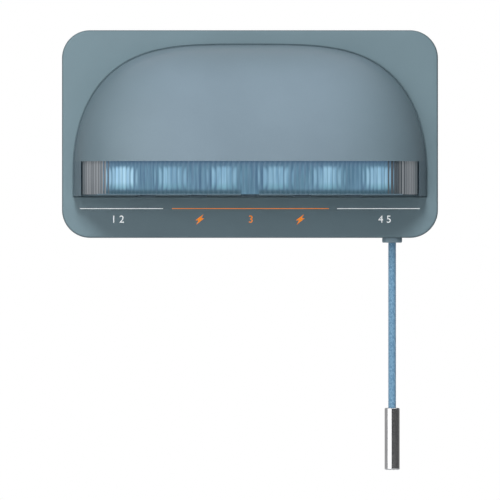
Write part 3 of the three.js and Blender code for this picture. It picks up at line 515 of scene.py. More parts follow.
body_half_width = 0.113
body_half_height = 0.0624
body_corner = 0.0168
body_edge = 0.0015
rim_shade_start = 0.0009
rim_shade_end = 0.0002
body_wall = 0.0022
rear_y = -0.0012
inner_front_y = -0.0135
seat_y = -0.0151
seam_gap = 0.0008
pocket_reach = 0.003
hood_half_width = 0.1058
hood_rise = 0.0752
shoulder_z = -0.0217
hood_bottom_z = -0.0373
across_power = 3.7
up_power = 2.08
lamp_pitch = 0.031
lamp_z = -0.026
lamp_half_width = 0.0075
lamp_half_height = 0.005
lamp_corner = 0.0025
lamp_places = [lamp_pitch * (number - 2.5) for number in range(6)]
fit = 0.0003
cut_past = 0.001
post_radius = 0.0036
post_top_y = -0.0035
post_sunk = 0.0008
post_hole_y = -0.0107
post_places = [(x, z) for x in (-0.101, 0.101) for z in (-0.0504, 0.0504)]
screw_hole = 0.00125
cord_hole = 0.00415
cord_hole_top_z = -0.0595
socket_corner = 0.0015


def arch(offset, bottom_z, y, steps=96):
    """The hood's outline, moved outwards, as corners in the plane at y."""
    across = np.cos(np.linspace(0, np.pi, steps + 1))
    up = (1 - np.abs(across) ** across_power) ** (1 / up_power)
    side = hood_half_width + offset
    x = np.concatenate([[side], side * across, [-side]])
    z = np.concatenate([[bottom_z], shoulder_z + (hood_rise + offset) * up, [bottom_z]])
    return np.stack([x, np.full(len(x), y), z], axis=1)


shell = rounded_slab(
    (-body_half_width, plate_front_y, -body_half_height),
    (body_half_width, rear_y, body_half_height),
    body_corner,
    32,
    front_edge=body_edge,
    edge_segments=6,
)
room_width = body_half_width - body_wall
room_height = body_half_height - body_wall
room_low = (-room_width, inner_front_y, -room_height)
boolean(shell, rounded_slab(room_low, (room_width, cut_past, room_height), body_corner - body_wall, 24))
boolean(shell, prism(arch(seam_gap, hood_bottom_z - seam_gap, seat_y), (0, -pocket_reach, 0)))
lamp_windows = [
    rounded_slab(
        (x - lamp_half_width - fit, plate_front_y - cut_past, lamp_z - lamp_half_height - fit),
        (x + lamp_half_width + fit, inner_front_y + cut_past, lamp_z + lamp_half_height + fit),
        lamp_corner + fit,
        6,
    )
    for x in lamp_places
]
boolean(shell, join(lamp_windows))
posts = [level_rod(x, z, post_top_y, inner_front_y - post_sunk, post_radius) for x, z in post_places]
boolean(shell, join(posts), "UNION")
holes = [level_rod(x, z, post_top_y + cut_past, post_hole_y, screw_hole, 20) for x, z in post_places]
boolean(shell, join(holes))
cord_hole_low_z = -body_half_height - cut_past
cord_hole_middle = (cord_x, cord_y, (cord_hole_low_z + cord_hole_top_z) / 2)
boolean(shell, rod(cord_hole_middle, cord_hole_top_z - cord_hole_low_z, cord_hole, 48))
socket_low, socket_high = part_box("usb_socket")
socket_hole = box_tool(
    (socket_low.x - fit, socket_low.y - fit, -body_half_height - cut_past),
    (socket_high.x + fit, socket_high.y + fit, socket_low.z + cut_past),
)
bevel(socket_hole, "EDGE", lambda direction: abs(direction.z) > 0.99, socket_corner, 6)
boolean(shell, socket_hole)
tidy(shell, "rounded_front_shell", 32)

# The outermost millimetre of the outline, on the edge fillet and the sides, is darker: painted shade along
# the rim
shell_material, coords = new_finish("shell_abs")
tree = shell_material.node_tree
rim = put(tree, "VectorMath", {0: coords}, operation="ABSOLUTE").outputs[0]
straight = (body_half_width - body_corner, 1.0, body_half_height - body_corner)
rim = put(tree, "VectorMath", {0: rim, 1: straight}, operation="SUBTRACT").outputs[0]
rim = put(tree, "VectorMath", {0: rim, 1: (0, 0, 0)}, operation="MAXIMUM").outputs[0]
reach = put(tree, "VectorMath", {0: rim}, operation="LENGTH").outputs["Value"]
rim_shade = ramp(reach, body_corner - rim_shade_start, body_corner - rim_shade_end)
shell_colour = mix(rim_shade, srgb(117, 138, 146), srgb(96, 115, 122))
finish_moulded(shell_material, shell_colour, 0.52, 2600.0, 0.35)
finish_piece(shell, shell_material, "housing", "shell_plastic", "front_shell")


# Hood. A domed cover of satin ABS, 2.4 mm thick, screwed on from inside the shell. It bulges 50 mm
# from the shell, has straight flanks below its shoulder, and is open for the window and the rack.

hood_depth = 0.05
hood_wall = 0.0024
hood_back_y = -0.0157
mouth_z = -0.0165
mouth_half_width = 0.1013
mouth_cut_y = -0.08
lip_top_z = -0.0125
lip_wall = 0.0009
hood_columns = 120
hood_rows = 56
flank_rows = 5
skin_crowding = 0.75
shade_side_x = (0.035, 0.098)
shade_top_z = (0.03, 0.056)


def hood_out(x, inset):
    """How far the hood's section stands out at x, below its shoulder."""
    share = np.clip(np.abs(x) / (hood_half_width - inset), 0, 1)
    return (hood_depth - inset) * np.sqrt(1 - share**across_power)


# One column runs over the outer skin from left to right and comes back under the inner skin
skin_angle = np.linspace(-0.5, 0.5, hood_columns + 1) * np.pi
skin_share = np.sign(np.sin(skin_angle)) * np.abs(np.sin(skin_angle)) ** skin_crowding
one_skin = np.concatenate([[-1.0], skin_share, [1.0]])
skin_back = np.zeros(len(one_skin), bool)
skin_back[[0, -1]] = True
both_skins = np.concatenate([one_skin, one_skin[::-1], one_skin[:1]])
both_backs = np.concatenate([skin_back, skin_back, skin_back[:1]])
both_inner = np.repeat([False, True, False], [len(one_skin), len(one_skin), 1])


def place_hood(column, row):
    column, row = column.astype(int), row.astype(int)
    share, back, inner = both_skins[column], both_backs[column], both_inner[column]
    flank = np.clip((row - 1) / flank_rows, 0, 1)
    turn = np.clip((row - 1 - flank_rows) / (hood_rows - 1 - flank_rows), 0, 1) * np.pi / 2
    across = np.cos(turn)
    up = (1 - across**across_power) ** (1 / up_power)
    z = hood_bottom_z + (shoulder_z - hood_bottom_z) * flank + hood_rise * up
    in_lip = (z < lip_top_z) & (np.abs(share) * hood_half_width < mouth_half_width)
    inset = np.where(inner, np.where(in_lip, lip_wall, hood_wall), 0.0)
    inset = np.where(row == 0, hood_wall / 2, inset)
    out = (hood_depth - inset) * across ** (across_power / 2)
    x = (hood_half_width - inset) * across * share
    y = plate_front_y - out * np.sqrt(1 - np.abs(share) ** across_power)
    z = np.where(row > 1 + flank_rows, shoulder_z + (hood_rise - inset) * up, z)
    return x, np.where(back, hood_back_y, y), z


hood = tidy(shaped_grid(len(both_skins) - 1, hood_rows, place_hood), "domed_hood")
mouth_low = (-mouth_half_width, mouth_cut_y, hood_bottom_z - 2 * cut_past)
boolean(hood, box_tool(mouth_low, (mouth_half_width, plate_front_y, mouth_z)))
tidy(hood, "domed_hood", 30)

# The moulding is painted darker towards its sides and its top, painted shade where its surface turns from the
# light, and darker still on its cheeks beside the window, painted shade below the mouth's edge
hood_material, coords = new_finish("hood_abs")
at_x, _, at_z = parts(coords)
from_middle = calc("ABSOLUTE", at_x)
below_mouth = ramp(at_z, mouth_z + 0.0004, mouth_z - 0.0004)
beside_mouth = ramp(from_middle, mouth_half_width - 0.001, mouth_half_width - 0.0002)
cheek_shade = calc("MULTIPLY", below_mouth, beside_mouth)
side_and_top_shade = calc("MAXIMUM", ramp(from_middle, *shade_side_x), ramp(at_z, *shade_top_z, 0.0, 0.7))
hood_colour = mix(side_and_top_shade, srgb(128, 146, 158), srgb(115, 134, 143))
hood_colour = mix(cheek_shade, hood_colour, srgb(108, 127, 137))
finish_moulded(hood_material, hood_colour, 0.44, 3200.0, 0.22)
finish_piece(hood, hood_material, "housing", "hood_plastic", "hood")


# Hood's ears and bosses, moulded on its inside. Each ear reaches down behind the window's top edge to
# the hinge pin, between the window's own two eyes. The bosses take the four screws from the shell.

hinge_y = -0.0597
hinge_z = -0.0192
hinge_spread = 0.04
eye_radius = 0.0019
hood_ear_width = 0.0038
hood_ear_top_z = -0.0062
hood_ear_front_y = -0.0587
hood_ear_back_y = -0.0567
hood_ear_bridge_z = -0.0125
boss_radius = 0.003
boss_front_y = -0.0275
boss_hole_y = -0.0213


def eye(x, width):
    """A round eye on the hinge's axis."""
    return rod((x, hinge_y, hinge_z), width, eye_radius, 32, (0, math.pi / 2, 0))


def hood_ear(x):
    """An eye with the post and the bridge that hold it to the hood's wall."""
    low_x, high_x = x - hood_ear_width / 2, x + hood_ear_width / 2
    ear = eye(x, hood_ear_width)
    top = (high_x, hood_ear_back_y, hood_ear_top_z)
    wall_y = plate_front_y - float(hood_out(x, hood_wall / 2))
    boolean(ear, box_tool((low_x, hood_ear_front_y, hinge_z - eye_radius), top), "UNION")
    boolean(ear, box_tool((low_x, wall_y, hood_ear_bridge_z), top), "UNION")
    return ear


hood_ears = tidy(join([hood_ear(-hinge_spread), hood_ear(hinge_spread)]), "hood_ears")
finish_piece(hood_ears, hood_material, "housing", "hood_plastic")
bosses = []
for number in range(1, 5):
    screw_low, screw_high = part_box(f"hood_screw_{number}")
    middle = (screw_low + screw_high) / 2
    boss = level_rod(middle.x, middle.z, hood_back_y, boss_front_y, boss_radius)
    boolean(boss, level_rod(middle.x, middle.z, hood_back_y + cut_past, boss_hole_y, screw_hole, 20))
    bosses.append(boss)
finish_piece(tidy(join(bosses), "hood_bosses"), hood_material, "housing", "hood_plastic")


# Gasket. A rubber ring pressed between hood and shell, whose rounded outer bead fills the seam to
# just below the plate's face.

seam_base = np.linspace(-hood_half_width, hood_half_width, 42)[1:-1]
seam_loop = np.concatenate([
    arch(0.0, hood_bottom_z, 0.0, 160),
    np.array([(x, 0.0, hood_bottom_z) for x in seam_base]),
])
loop_step = np.roll(seam_loop, -1, axis=0) - np.roll(seam_loop, 1, axis=0)
loop_size = np.hypot(loop_step[:, 0], loop_step[:, 2])
loop_out_x = loop_step[:, 2] / loop_size
loop_out_z = -loop_step[:, 0] / loop_size
gasket_section = np.array([
    (-0.0023, seat_y), (0.0007, seat_y), (0.00073, -0.01585), (0.00062, -0.01612), (0.0004, -0.01622),
    (0.00018, -0.01612), (0.00007, -0.01585), (0.00005, -0.01571), (-0.0023, -0.01571), (-0.0023, seat_y),
])


def place_gasket(column, row):
    column = column.astype(int) % len(seam_loop)
    out, y = gasket_section[row.astype(int)].T
    return seam_loop[column, 0] + loop_out_x[column] * out, y, seam_loop[column, 2] + loop_out_z[column] * out


gasket = tidy(shaped_grid(len(seam_loop), len(gasket_section) - 1, place_gasket), "beaded_gasket", 50)
gasket_material = moulded_material("gasket_rubber", (110, 129, 137), 0.8, 1800.0, 0.3, 0.2)
finish_piece(gasket, gasket_material, "housing", "gasket_rubber", "hood_gasket")


# Window. A curved flap of tinted translucent polycarbonate that hangs from two pins under the
# hood's lip, with upright reeds on its front, narrower towards its ends. The six lamps' light through
# it is painted on as emission: soft patches and streaks, painted shade under the lip and along its
# foot, and a pale grey glow at its ends.

flap_half_width = 0.1003
flap_top_z = -0.0163
flap_bottom_z = -0.0364
flap_inset = 0.0018
flap_wall = 0.0016
flap_edge = 0.0003
reed_depth = 0.0006
reed_pitch = 0.0031
reed_circle = 0.106
reed_facets = 8
reed_shift = 0.008
patch_z = -0.0266
patch_half_width = 0.0086
patch_half_height = 0.007
# Where one tone goes over into the next one, from the first value to the second
lit_left_x = (-0.0885, -0.086)
lit_right_x = (0.0856, 0.0836)
first_lamp_x = (-0.06, -0.068)
last_lamps_x = (0.03, 0.07)
end_left_x = (-0.0876, -0.0886)
end_right_x = (0.0922, 0.0942)
end_shade_x = (0.0984, 0.0992)
finger_gap_x = (0.0045, 0.006)
lip_shade_z = (-0.0215, -0.0165)
patch_foot_z = (-0.0285, -0.0325)
low_band_z = (-0.0325, -0.0352)

plan_x = np.linspace(-flap_half_width, flap_half_width, 8001)
plan_y = plate_front_y - hood_out(plan_x, flap_inset)
plan_turn = np.arcsin(plan_x / reed_circle)
plan_slope = np.gradient(plan_y, plan_x)
reed_count = round((plan_turn[-1] - plan_turn[0]) * reed_circle / reed_pitch)
# The flap's section, from its front's lower edge round to its back: how deep, and how high
window_section = np.array([
    (0.18, flap_bottom_z), (0.0, flap_bottom_z + flap_edge), (0.0, flap_top_z - flap_edge),
    (0.18, flap_top_z), (1.0, flap_top_z), (1.0, flap_bottom_z), (0.18, flap_bottom_z),
])


def place_window(column, row):
    share = column / (reed_count * reed_facets)
    turn = plan_turn[0] + (plan_turn[-1] - plan_turn[0]) * share
    x, y, slope = (np.interp(turn, plan_turn, values) for values in (plan_x, plan_y, plan_slope))
    size = np.hypot(1, slope)
    bulge = reed_depth * np.sin((column % reed_facets) / reed_facets * np.pi)
    depth, z = window_section[row.astype(int)].T
    out = bulge * (1 - depth) - flap_wall * depth
    return x + slope / size * out, y - out / size, z


def from_lamp(x):
    """How far a place is from the nearest lamp's middle, sideways."""
    share = calc("SUBTRACT", calc("FRACT", calc("DIVIDE", x, lamp_pitch)), 0.5)
    return calc("MULTIPLY", calc("ABSOLUTE", share), lamp_pitch)


window_grid = shaped_grid(reed_count * reed_facets, len(window_section) - 1, place_window)
window = tidy(window_grid, "reeded_window", 50)

window_material, coords = new_finish("lit_reeded_polycarbonate")
at_x, _, at_z = parts(coords)
from_middle = calc("ABSOLUTE", at_x)
reed_u = parts(put(window_material.node_tree, "UVMap").outputs[0])[0]
reed_place = calc("MULTIPLY", reed_u, float(reed_count))
phase = calc("SUBTRACT", calc("FRACT", reed_place), 0.5)
from_crown = calc("ABSOLUTE", phase)
# The painted glow is shifted sideways across each reed, as a reed bends what lies behind it, so it shows a
# wider strip than it covers
seen_x = calc("SUBTRACT", at_x, calc("MULTIPLY", phase, reed_shift))
above_lamp = calc("ABSOLUTE", calc("SUBTRACT", at_z, patch_z))
wide = calc("POWER", calc("DIVIDE", from_lamp(seen_x), patch_half_width), 3.0)
tall = calc("POWER", calc("DIVIDE", above_lamp, patch_half_height), 3.0)
patch = ramp(calc("ADD", wide, tall), 1.35, 0.3)
lit_zone = calc("MULTIPLY", ramp(seen_x, *lit_left_x), ramp(seen_x, *lit_right_x))
# No two reeds are alike, so each is painted a little brighter or darker in the glow
reed_number = {"W": calc("FLOOR", reed_place)}
reed_tone = put(coords.id_data, "TexWhiteNoise", reed_number, noise_dimensions="1D").outputs["Value"]
patch = calc("MULTIPLY", patch, ramp(reed_tone, 0.0, 1.0, 0.66, 1.08))
patch = calc("MULTIPLY", patch, ramp(from_crown, 0.26, 0.48, 1.0, 0.42))
# Painted light: a haze of glow between the patches, and streaks in the glow
haze = ramp(noise(coords, 90.0, 2.0), 0.35, 0.65, 0.0, 0.5)
streak = noise(stretched(coords, (1, 1, 0.06)), 620.0, 3.0)
streaky = ramp(streak, 0.35, 0.65)
# Painted shade along the window's lower band, though not at the finger gap, and under the hood's lip at its
# top
low_band_shade = calc("MULTIPLY", ramp(at_z, *low_band_z), ramp(from_middle, *finger_gap_x))
gap_glow = mix(streaky, srgb(70, 102, 128), srgb(98, 136, 160))
gap_glow = mix(haze, gap_glow, srgb(84, 124, 142))
gap_glow = mix(ramp(at_z, *lip_shade_z), gap_glow, srgb(74, 102, 126))
gap_glow = mix(low_band_shade, gap_glow, srgb(52, 80, 92))
# The painted glow is brightest over the first lamp, and brighter over the last ones than over the middle ones
bright_lamps = calc("MAXIMUM", ramp(at_x, *first_lamp_x), ramp(at_x, *last_lamps_x, 0.0, 0.35))
dim_glow = mix(streaky, srgb(122, 166, 194), srgb(148, 192, 216))
bright_glow = mix(streaky, srgb(160, 206, 236), srgb(184, 226, 246))
patch_glow = mix(bright_lamps, dim_glow, bright_glow)
patch_glow = mix(ramp(at_z, *patch_foot_z, 0.0, 0.6), patch_glow, srgb(104, 160, 172))
# Past the lamps the painted glow is grey, with pale reed lines at the window's ends and painted shade on its
# outermost edges
end_zone = calc("MAXIMUM", ramp(seen_x, *end_left_x), ramp(seen_x, *end_right_x))
reed_line = calc("MULTIPLY", ramp(from_crown, 0.22, 0.42), reed_tone)
pale_grey = mix(reed_line, srgb(100, 105, 109), srgb(154, 158, 161))
grey = mix(end_zone, srgb(48, 56, 60), pale_grey)
grey = mix(ramp(from_middle, *end_shade_x), grey, srgb(84, 92, 96))
# Painted light: the base colour is bluer in the lit zone, and the emission paints the glow itself, though the
# window is no lamp
finish_material(
    window_material,
    Base_Color=mix(lit_zone, srgb(64, 67, 71), srgb(48, 64, 76)),
    Roughness=ramp(streak, 0.3, 0.7, 0.36, 0.5),
    Normal=relief(streak, 0.1, 0.00005),
    Specular_IOR_Level=0.3,
    Emission_Color=mix(lit_zone, grey, mix(patch, gap_glow, patch_glow)),
    Emission_Strength=0.85,
)
finish_piece(window, window_material, "flap", "reed_plastic", "window_flap")


# Window's lip and ears. A smooth bead along its lower edge, open at the middle for a fingertip, is
# the pale line under the reeds, helped by a faint painted glow. Two pairs of ears behind its upper edge
# turn on the hinge pins.

lip_low_z = -0.0367
lip_high_z = -0.0361
lip_inset = 0.0009
lip_back = 0.0034
lip_gap = 0.0054
lip_end = 0.0915
lip_round = 0.0003
lip_columns = 60
ear_width = 0.0032
ear_step = 0.0038
lip_section = np.array([
    (lip_inset + lip_round, lip_low_z), (lip_inset, lip_low_z + lip_round),
    (lip_inset, lip_high_z - lip_round), (lip_inset + lip_round, lip_high_z),
    (lip_back, lip_high_z), (lip_back, lip_low_z), (lip_inset + lip_round, lip_low_z),
])


def window_ear(x):
    """An eye on the pin, and the arm that joins it to the window's back."""
    ear = eye(x, ear_width)
    front_y = plate_front_y - float(hood_out(x, flap_inset + flap_wall / 2))
    arm_high = (x + ear_width / 2, hinge_y + eye_radius, flap_top_z)
    boolean(ear, box_tool((x - ear_width / 2, front_y, hinge_z), arm_high), "UNION")
    return ear


bead_material, coords = new_finish("clear_bead")
cloud = noise(coords, 70.0, 2.0)
bead_tints = srgb(98, 122, 136), srgb(108, 134, 148)
# The glow paints light on the bead and the ears, though they are no lamp
uneven_finish(bead_material, cloud, cloud, bead_tints, (0.25, 0.4), (0.1, 0.0001), glow=0.12)
both_sides = ((-1, "left"), (1, "right"))
for side, name in both_sides:

    def place_lip(column, row):
        x = side * (lip_gap + (lip_end - lip_gap) * np.sin(column / lip_columns * np.pi / 2))
        inset, z = lip_section[row.astype(int)].T
        return x, plate_front_y - hood_out(x, inset), z

    lip = tidy(shaped_grid(lip_columns, len(lip_section) - 1, place_lip), f"window_lip_{name}", 50)
    finish_piece(lip, bead_material, "flap", "reed_plastic")
for side, name in both_sides:
    ears = [window_ear(side * hinge_spread + step) for step in (-ear_step, ear_step)]
    finish_piece(tidy(join(ears), f"window_ears_{name}"), bead_material, "flap", "reed_plastic")


# Grips. Five soft U-shaped liners snap into the rack's notches and hold a toothbrush by its neck.
# They are moulded in silicone, with rounded edges above and below the shelf.

grip_seat_y = -0.0405
grip_gap = 0.0042
grip_wall = 0.0014
grip_reach = grip_gap + grip_wall
grip_edge = 0.00035
grip_turns = np.linspace(0, np.pi, 25)


def bend(x, reach, turns):
    """Half a circle round the place of a toothbrush's neck."""
    return [(x + reach * math.cos(turn), grip_seat_y + reach * math.sin(turn)) for turn in turns]


grip_material = moulded_material("grip_silicone", (92, 110, 121), 0.62, 2200.0, 0.25)
for number in range(1, 6):
    grip_low, grip_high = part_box(f"neck_grip_{number}")
    x = (grip_low.x + grip_high.x) / 2
    y = grip_low.y
    outline = bend(x, grip_reach, grip_turns) + [(x - grip_reach, y), (x - grip_gap, y)]
    outline += bend(x, grip_gap, grip_turns[::-1]) + [(x + grip_gap, y), (x + grip_reach, y)]
    grip = prism([(*spot, grip_low.z) for spot in outline], (0, 0, grip_high.z - grip_low.z))
    bevel(grip, "FACE", lambda normal: abs(normal.z) > 0.9, grip_edge, 3)
    tidy(grip, f"soft_grip_{number}", 40)
    finish_piece(grip, grip_material, "housing", "silicone", f"neck_grip_{number}")


# Bushing. A turned rubber ring lines the cord's hole: a flange below the body, a neck through its
# wall, and a small barb inside that keeps it there.

bushing_profile = np.array([
    (0.00275, -0.0649), (0.00285, -0.0652), (0.0032, -0.0653), (0.0053, -0.0653), (0.0058, -0.0651),
    (0.006, -0.0646), (0.006, -0.0627), (0.0058, -0.0624), (0.0039, -0.0624), (0.0039, -0.0602),
    (0.0045, -0.0602), (0.0039, -0.0595), (0.00275, -0.0595), (0.00275, -0.0649),
])
bushing_columns = 72


def place_bushing(column, row):
    radius, z = bushing_profile[row.astype(int)].T
    angle = column / bushing_columns * 2 * np.pi
    return cord_x + radius * np.cos(angle), cord_y + radius * np.sin(angle), z


bushing = shaped_grid(bushing_columns, len(bushing_profile) - 1, place_bushing)
bushing_material = moulded_material("bushing_rubber", (136, 157, 168), 0.6, 2200.0, 0.25)
finish_piece(
    tidy(bushing, "turned_bushing", 40), bushing_material, "housing", "grommet_rubber", "cord_grommet"
)


# Other mouldings: the rack, the rear cover with its coarser texture, the white bracket, the
# switch's black frame and case, and its white slider and plunger.

dress(moulded_material("rack_abs", (104, 124, 134), 0.5, 2600.0, 0.3), "brush_rack")
dress(moulded_material("cover_abs", (104, 122, 130), 0.62, 1500.0, 0.6), "rear_cover")
dress(moulded_material("bracket_abs", (214, 217, 219), 0.5, 2200.0, 0.3), "wall_bracket")
dress(moulded_material("switch_nylon", (38, 41, 44), 0.5, 2600.0, 0.3), "switch_frame", "micro_switch")
slider_material = moulded_material("slider_acetal", (216, 219, 221), 0.4, 2600.0, 0.15)
dress(slider_material, "pull_slider", "switch_plunger")


# Foam pieces. A closed-cell adhesive pad holds the bracket to the wall, and a thinner strip of white
# foam tape holds the battery. Both are die cut, with edges that the cutter rounds a little.

pad_corner = 0.005
pad_edge = 0.0002
tape_corner = 0.0014
tape_edge = 0.0001
foam_material, coords = new_finish("closed_cell_foam")
cells = put(coords.id_data, "TexVoronoi", {"Vector": coords, "Scale": 1400.0}).outputs["Distance"]
cloud = noise(coords, 60.0, 3.0)
foam_colour = mix(ramp(cells, 0.1, 0.6), srgb(34, 37, 41), srgb(58, 62, 67))
finish_material(
    foam_material,
    Base_Color=mix(ramp(cloud, 0.3, 0.7, 0.0, 0.3), foam_colour, srgb(70, 74, 79)),
    Roughness=ramp(cloud, 0.3, 0.7, 0.82, 0.94),
    Normal=relief(cells, 0.6, 0.0002),
    Specular_IOR_Level=0.15,
)
tape_material = moulded_material("white_foam_tape", (212, 214, 214), 0.8, 1400.0, 0.8, 0.2)
pad = rounded_slab(*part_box("adhesive_pad"), pad_corner, 12, pad_edge, pad_edge, edge_segments=2)
finish_piece(tidy(pad, "foam_pad", 40), foam_material, "wall_mount", "foam_pad", "adhesive_pad")
tape = rounded_slab(*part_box("battery_tape"), tape_corner, 8, tape_edge, tape_edge, edge_segments=2)
finish_piece(tidy(tape, "foam_battery_tape", 40), tape_material, "housing", "foam_pad", "battery_tape")


# Lamps. Six milky silicone lenses stand in the shell's windows on one long board. Three small lamps
# glow violet-blue under each lens.

lens_edge = 0.0012
lens_dot_pitch = 0.0045
lens_dot_radius = 0.0019
lens_dot_core = 0.0004
lens_material, coords = new_finish("milky_lens")
at_x, _, at_z = parts(coords)
from_middle = from_lamp(at_x)
from_outer = calc("ABSOLUTE", calc("SUBTRACT", from_middle, lens_dot_pitch))
beside = calc("POWER", calc("MINIMUM", from_middle, from_outer), 2.0)
above = calc("POWER", calc("SUBTRACT", at_z, lamp_z), 2.0)
spot = ramp(calc("SQRT", calc("ADD", beside, above)), lens_dot_radius, lens_dot_core)
frost = noise(coords, 700.0, 2.0)
uneven_finish(
    lens_material,
    frost,
    frost,
    (srgb(150, 184, 212), srgb(172, 202, 224)),
    (0.3, 0.42),
    (0.15, 0.0001),
    Emission_Color=mix(spot, srgb(128, 170, 214), srgb(222, 236, 255)),
    Emission_Strength=0.8,
)
for number in range(1, 7):
    node = f"uv_lamp_{number}"
    lens = rounded_slab(*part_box(node), lamp_corner, 10, front_edge=lens_edge, edge_segments=5)
    finish_piece(tidy(lens, f"lamp_lens_{number}", 40), lens_material, "housing", "lamp_lens", node)


# Reflector. A bright vacuum-metallised plastic sheet with faint rolling marks. It lies on the shell
# behind the brushes, and is die cut with a window for each lamp.

reflector_material, coords = new_finish("bright_reflector")
marks = noise(stretched(coords, (0.05, 1, 1)), 1200.0, 3.0)
cloud = noise(coords, 30.0, 3.0)
reflector_tints = srgb(196, 206, 214), srgb(214, 222, 228)
uneven_finish(
    reflector_material, cloud, marks, reflector_tints, (0.28, 0.4), (0.03, 0.00005), Metallic=0.3
)
dress(reflector_material, "chamber_liner")


# Circuit boards. Glass fibre with green solder mask over copper tracks, and black packages on the
# main board's back. Zinc-plated screws hold both boards.

board_back_y = -0.0085
package_start = 0.0001
board_material, coords = new_finish("green_solder_mask")
upright = put(coords.id_data, "Mapping", {"Vector": coords, "Rotation": (math.pi / 2, 0, 0)}).outputs[0]
bricks = {"Vector": upright, "Scale": 420.0, "Mortar Size": 0.05, "Mortar Smooth": 0.2}
bricks.update({"Brick Width": 1.4, "Row Height": 0.5})
tracks = put(coords.id_data, "TexBrick", bricks).outputs["Fac"]
track_area = calc("MULTIPLY", tracks, ramp(noise(coords, 45.0, 2.0), 0.45, 0.55))
mask_colour = mix(track_area, srgb(22, 84, 56), srgb(46, 124, 82))
package = ramp(parts(coords)[1], board_back_y + package_start, board_back_y + 2 * package_start)
finish_material(
    board_material,
    Base_Color=mix(package, mask_colour, srgb(28, 28, 31)),
    Roughness=ramp(package, 0.0, 1.0, 0.32, 0.6),
    Normal=relief(track_area, 0.3, 0.0001),
)
dress(board_material, "led_board", "main_board")


# Battery. A flat lithium cell in shrink film with a few creases. The strip of foam tape holds it to
# the shell's inside.

film_material, coords = new_finish("shrink_film")
crease = noise(stretched(coords, (1, 1, 0.3)), 120.0, 4.0, 1.2)
film_tints = srgb(150, 156, 162), srgb(172, 177, 183)
uneven_finish(film_material, crease, crease, film_tints, (0.24, 0.4), (0.4, 0.0004), Metallic=0.35)
dress(film_material, "battery_pack")


# Steel pieces: zinc-plated screws, hinge pins and springs, and the socket's drawn shell. The plating
# is a little milky, with fine scratches.

spring_wire = 0.0003
spring_turns = 4
turn_steps = 32
spring_facets = 10
zinc_material, coords = new_finish("zinc_plate")
scratches = noise(stretched(coords, (1, 1, 0.1)), 2400.0, 2.0)
zinc_tints = (0.5, 0.51, 0.53, 1), (0.66, 0.67, 0.68, 1)
cloud = noise(coords, 260.0, 3.0)
uneven_finish(zinc_material, cloud, scratches, zinc_tints, (0.24, 0.42), (0.1, 0.00005), Metallic=1.0)
screws = [f"{kind}_screw_{n}" for kind in ("housing", "hood") for n in (1, 2, 3, 4)]
screws += [f"{kind}_screw_{n}" for kind in ("rack", "lamp_board", "main_board") for n in (1, 2)]
dress(zinc_material, *screws, "flap_pin_left", "flap_pin_right", "usb_socket")


def coil(node, axis):
    """A wound spring that fills its CAD node's box, along one of its axes."""
    low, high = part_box(node)
    others = [i for i in range(3) if i != axis]
    middle = [(a + b) / 2 for a, b in zip(low, high)]
    radius = max(high[i] - low[i] for i in others) / 2 - spring_wire
    travel = high[axis] - low[axis] - 2 * spring_wire
    steps = spring_turns * turn_steps

    def place(column, row):
        turn = column / steps * spring_turns * 2 * np.pi
        ring = row / spring_facets * 2 * np.pi
        reach = radius + spring_wire * np.cos(ring)
        spots = [None, None, None]
        spots[others[0]] = middle[others[0]] + reach * np.cos(turn)
        spots[others[1]] = middle[others[1]] + reach * np.sin(turn)
        spots[axis] = low[axis] + spring_wire + travel * column / steps + spring_wire * np.sin(ring)
        return tuple(spots)

    spring = tidy(shaped_grid(steps, spring_facets, place), f"wound_{node}", 60)
    finish_piece(spring, zinc_material, "housing", "steel", node)
    return spring


return_spring = coil("return_spring", 2)
coil("flap_spring_left", 0)
coil("flap_spring_right", 0)
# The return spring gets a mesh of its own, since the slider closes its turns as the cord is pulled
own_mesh(return_spring)


# Leads. Pairs of thin PVC wires join the battery, the lamps and the switch to the main board. Each
# pair is twisted together and lies along one way.

lead_radius = 0.0004
lead_twist = 0.009
lead_steps = 160
lead_facets = 10
battery_x = -0.027
lamp_lead_x = -0.06033
battery_way = [(-0.0103, 0.0017), (-0.00885, -0.0015), (-0.0074, -0.01945), (-0.0074, -0.0446)]
lamp_way = [(-0.0074, -0.0446), (-0.0074, -0.0406), (-0.0091, -0.033), (-0.0108, -0.0298)]
lead_routes = {
    "battery_lead": [(battery_x, y, z) for y, z in battery_way],
    "lamp_lead": [(lamp_lead_x, y, z) for y, z in lamp_way],
    "switch_lead": [(-0.0187, -0.0092, -0.0454), (0.02345, -0.00885, -0.047), (0.0659, -0.00885, -0.0454)],
}


def smooth_route(points):
    """Evenly numbered places on one smooth curve through the points."""
    points = np.array(points)
    ends = np.concatenate([[2 * points[0] - points[1]], points, [2 * points[-1] - points[-2]]])
    share = np.linspace(0, len(points) - 1, lead_steps + 1)
    i = np.minimum(share.astype(int), len(points) - 2)
    t = (share - i)[:, None]
    a, b, c, d = ends[i], ends[i + 1], ends[i + 2], ends[i + 3]
    return 0.5 * (2 * b + (c - a) * t + (2 * a - 5 * b + 4 * c - d) * t**2 + (3 * b - a - 3 * c + d) * t**3)


def ring_round(across, other, turn):
    """Directions at the given turns round a route."""
    return across * np.cos(turn)[:, None] + other * np.sin(turn)[:, None]


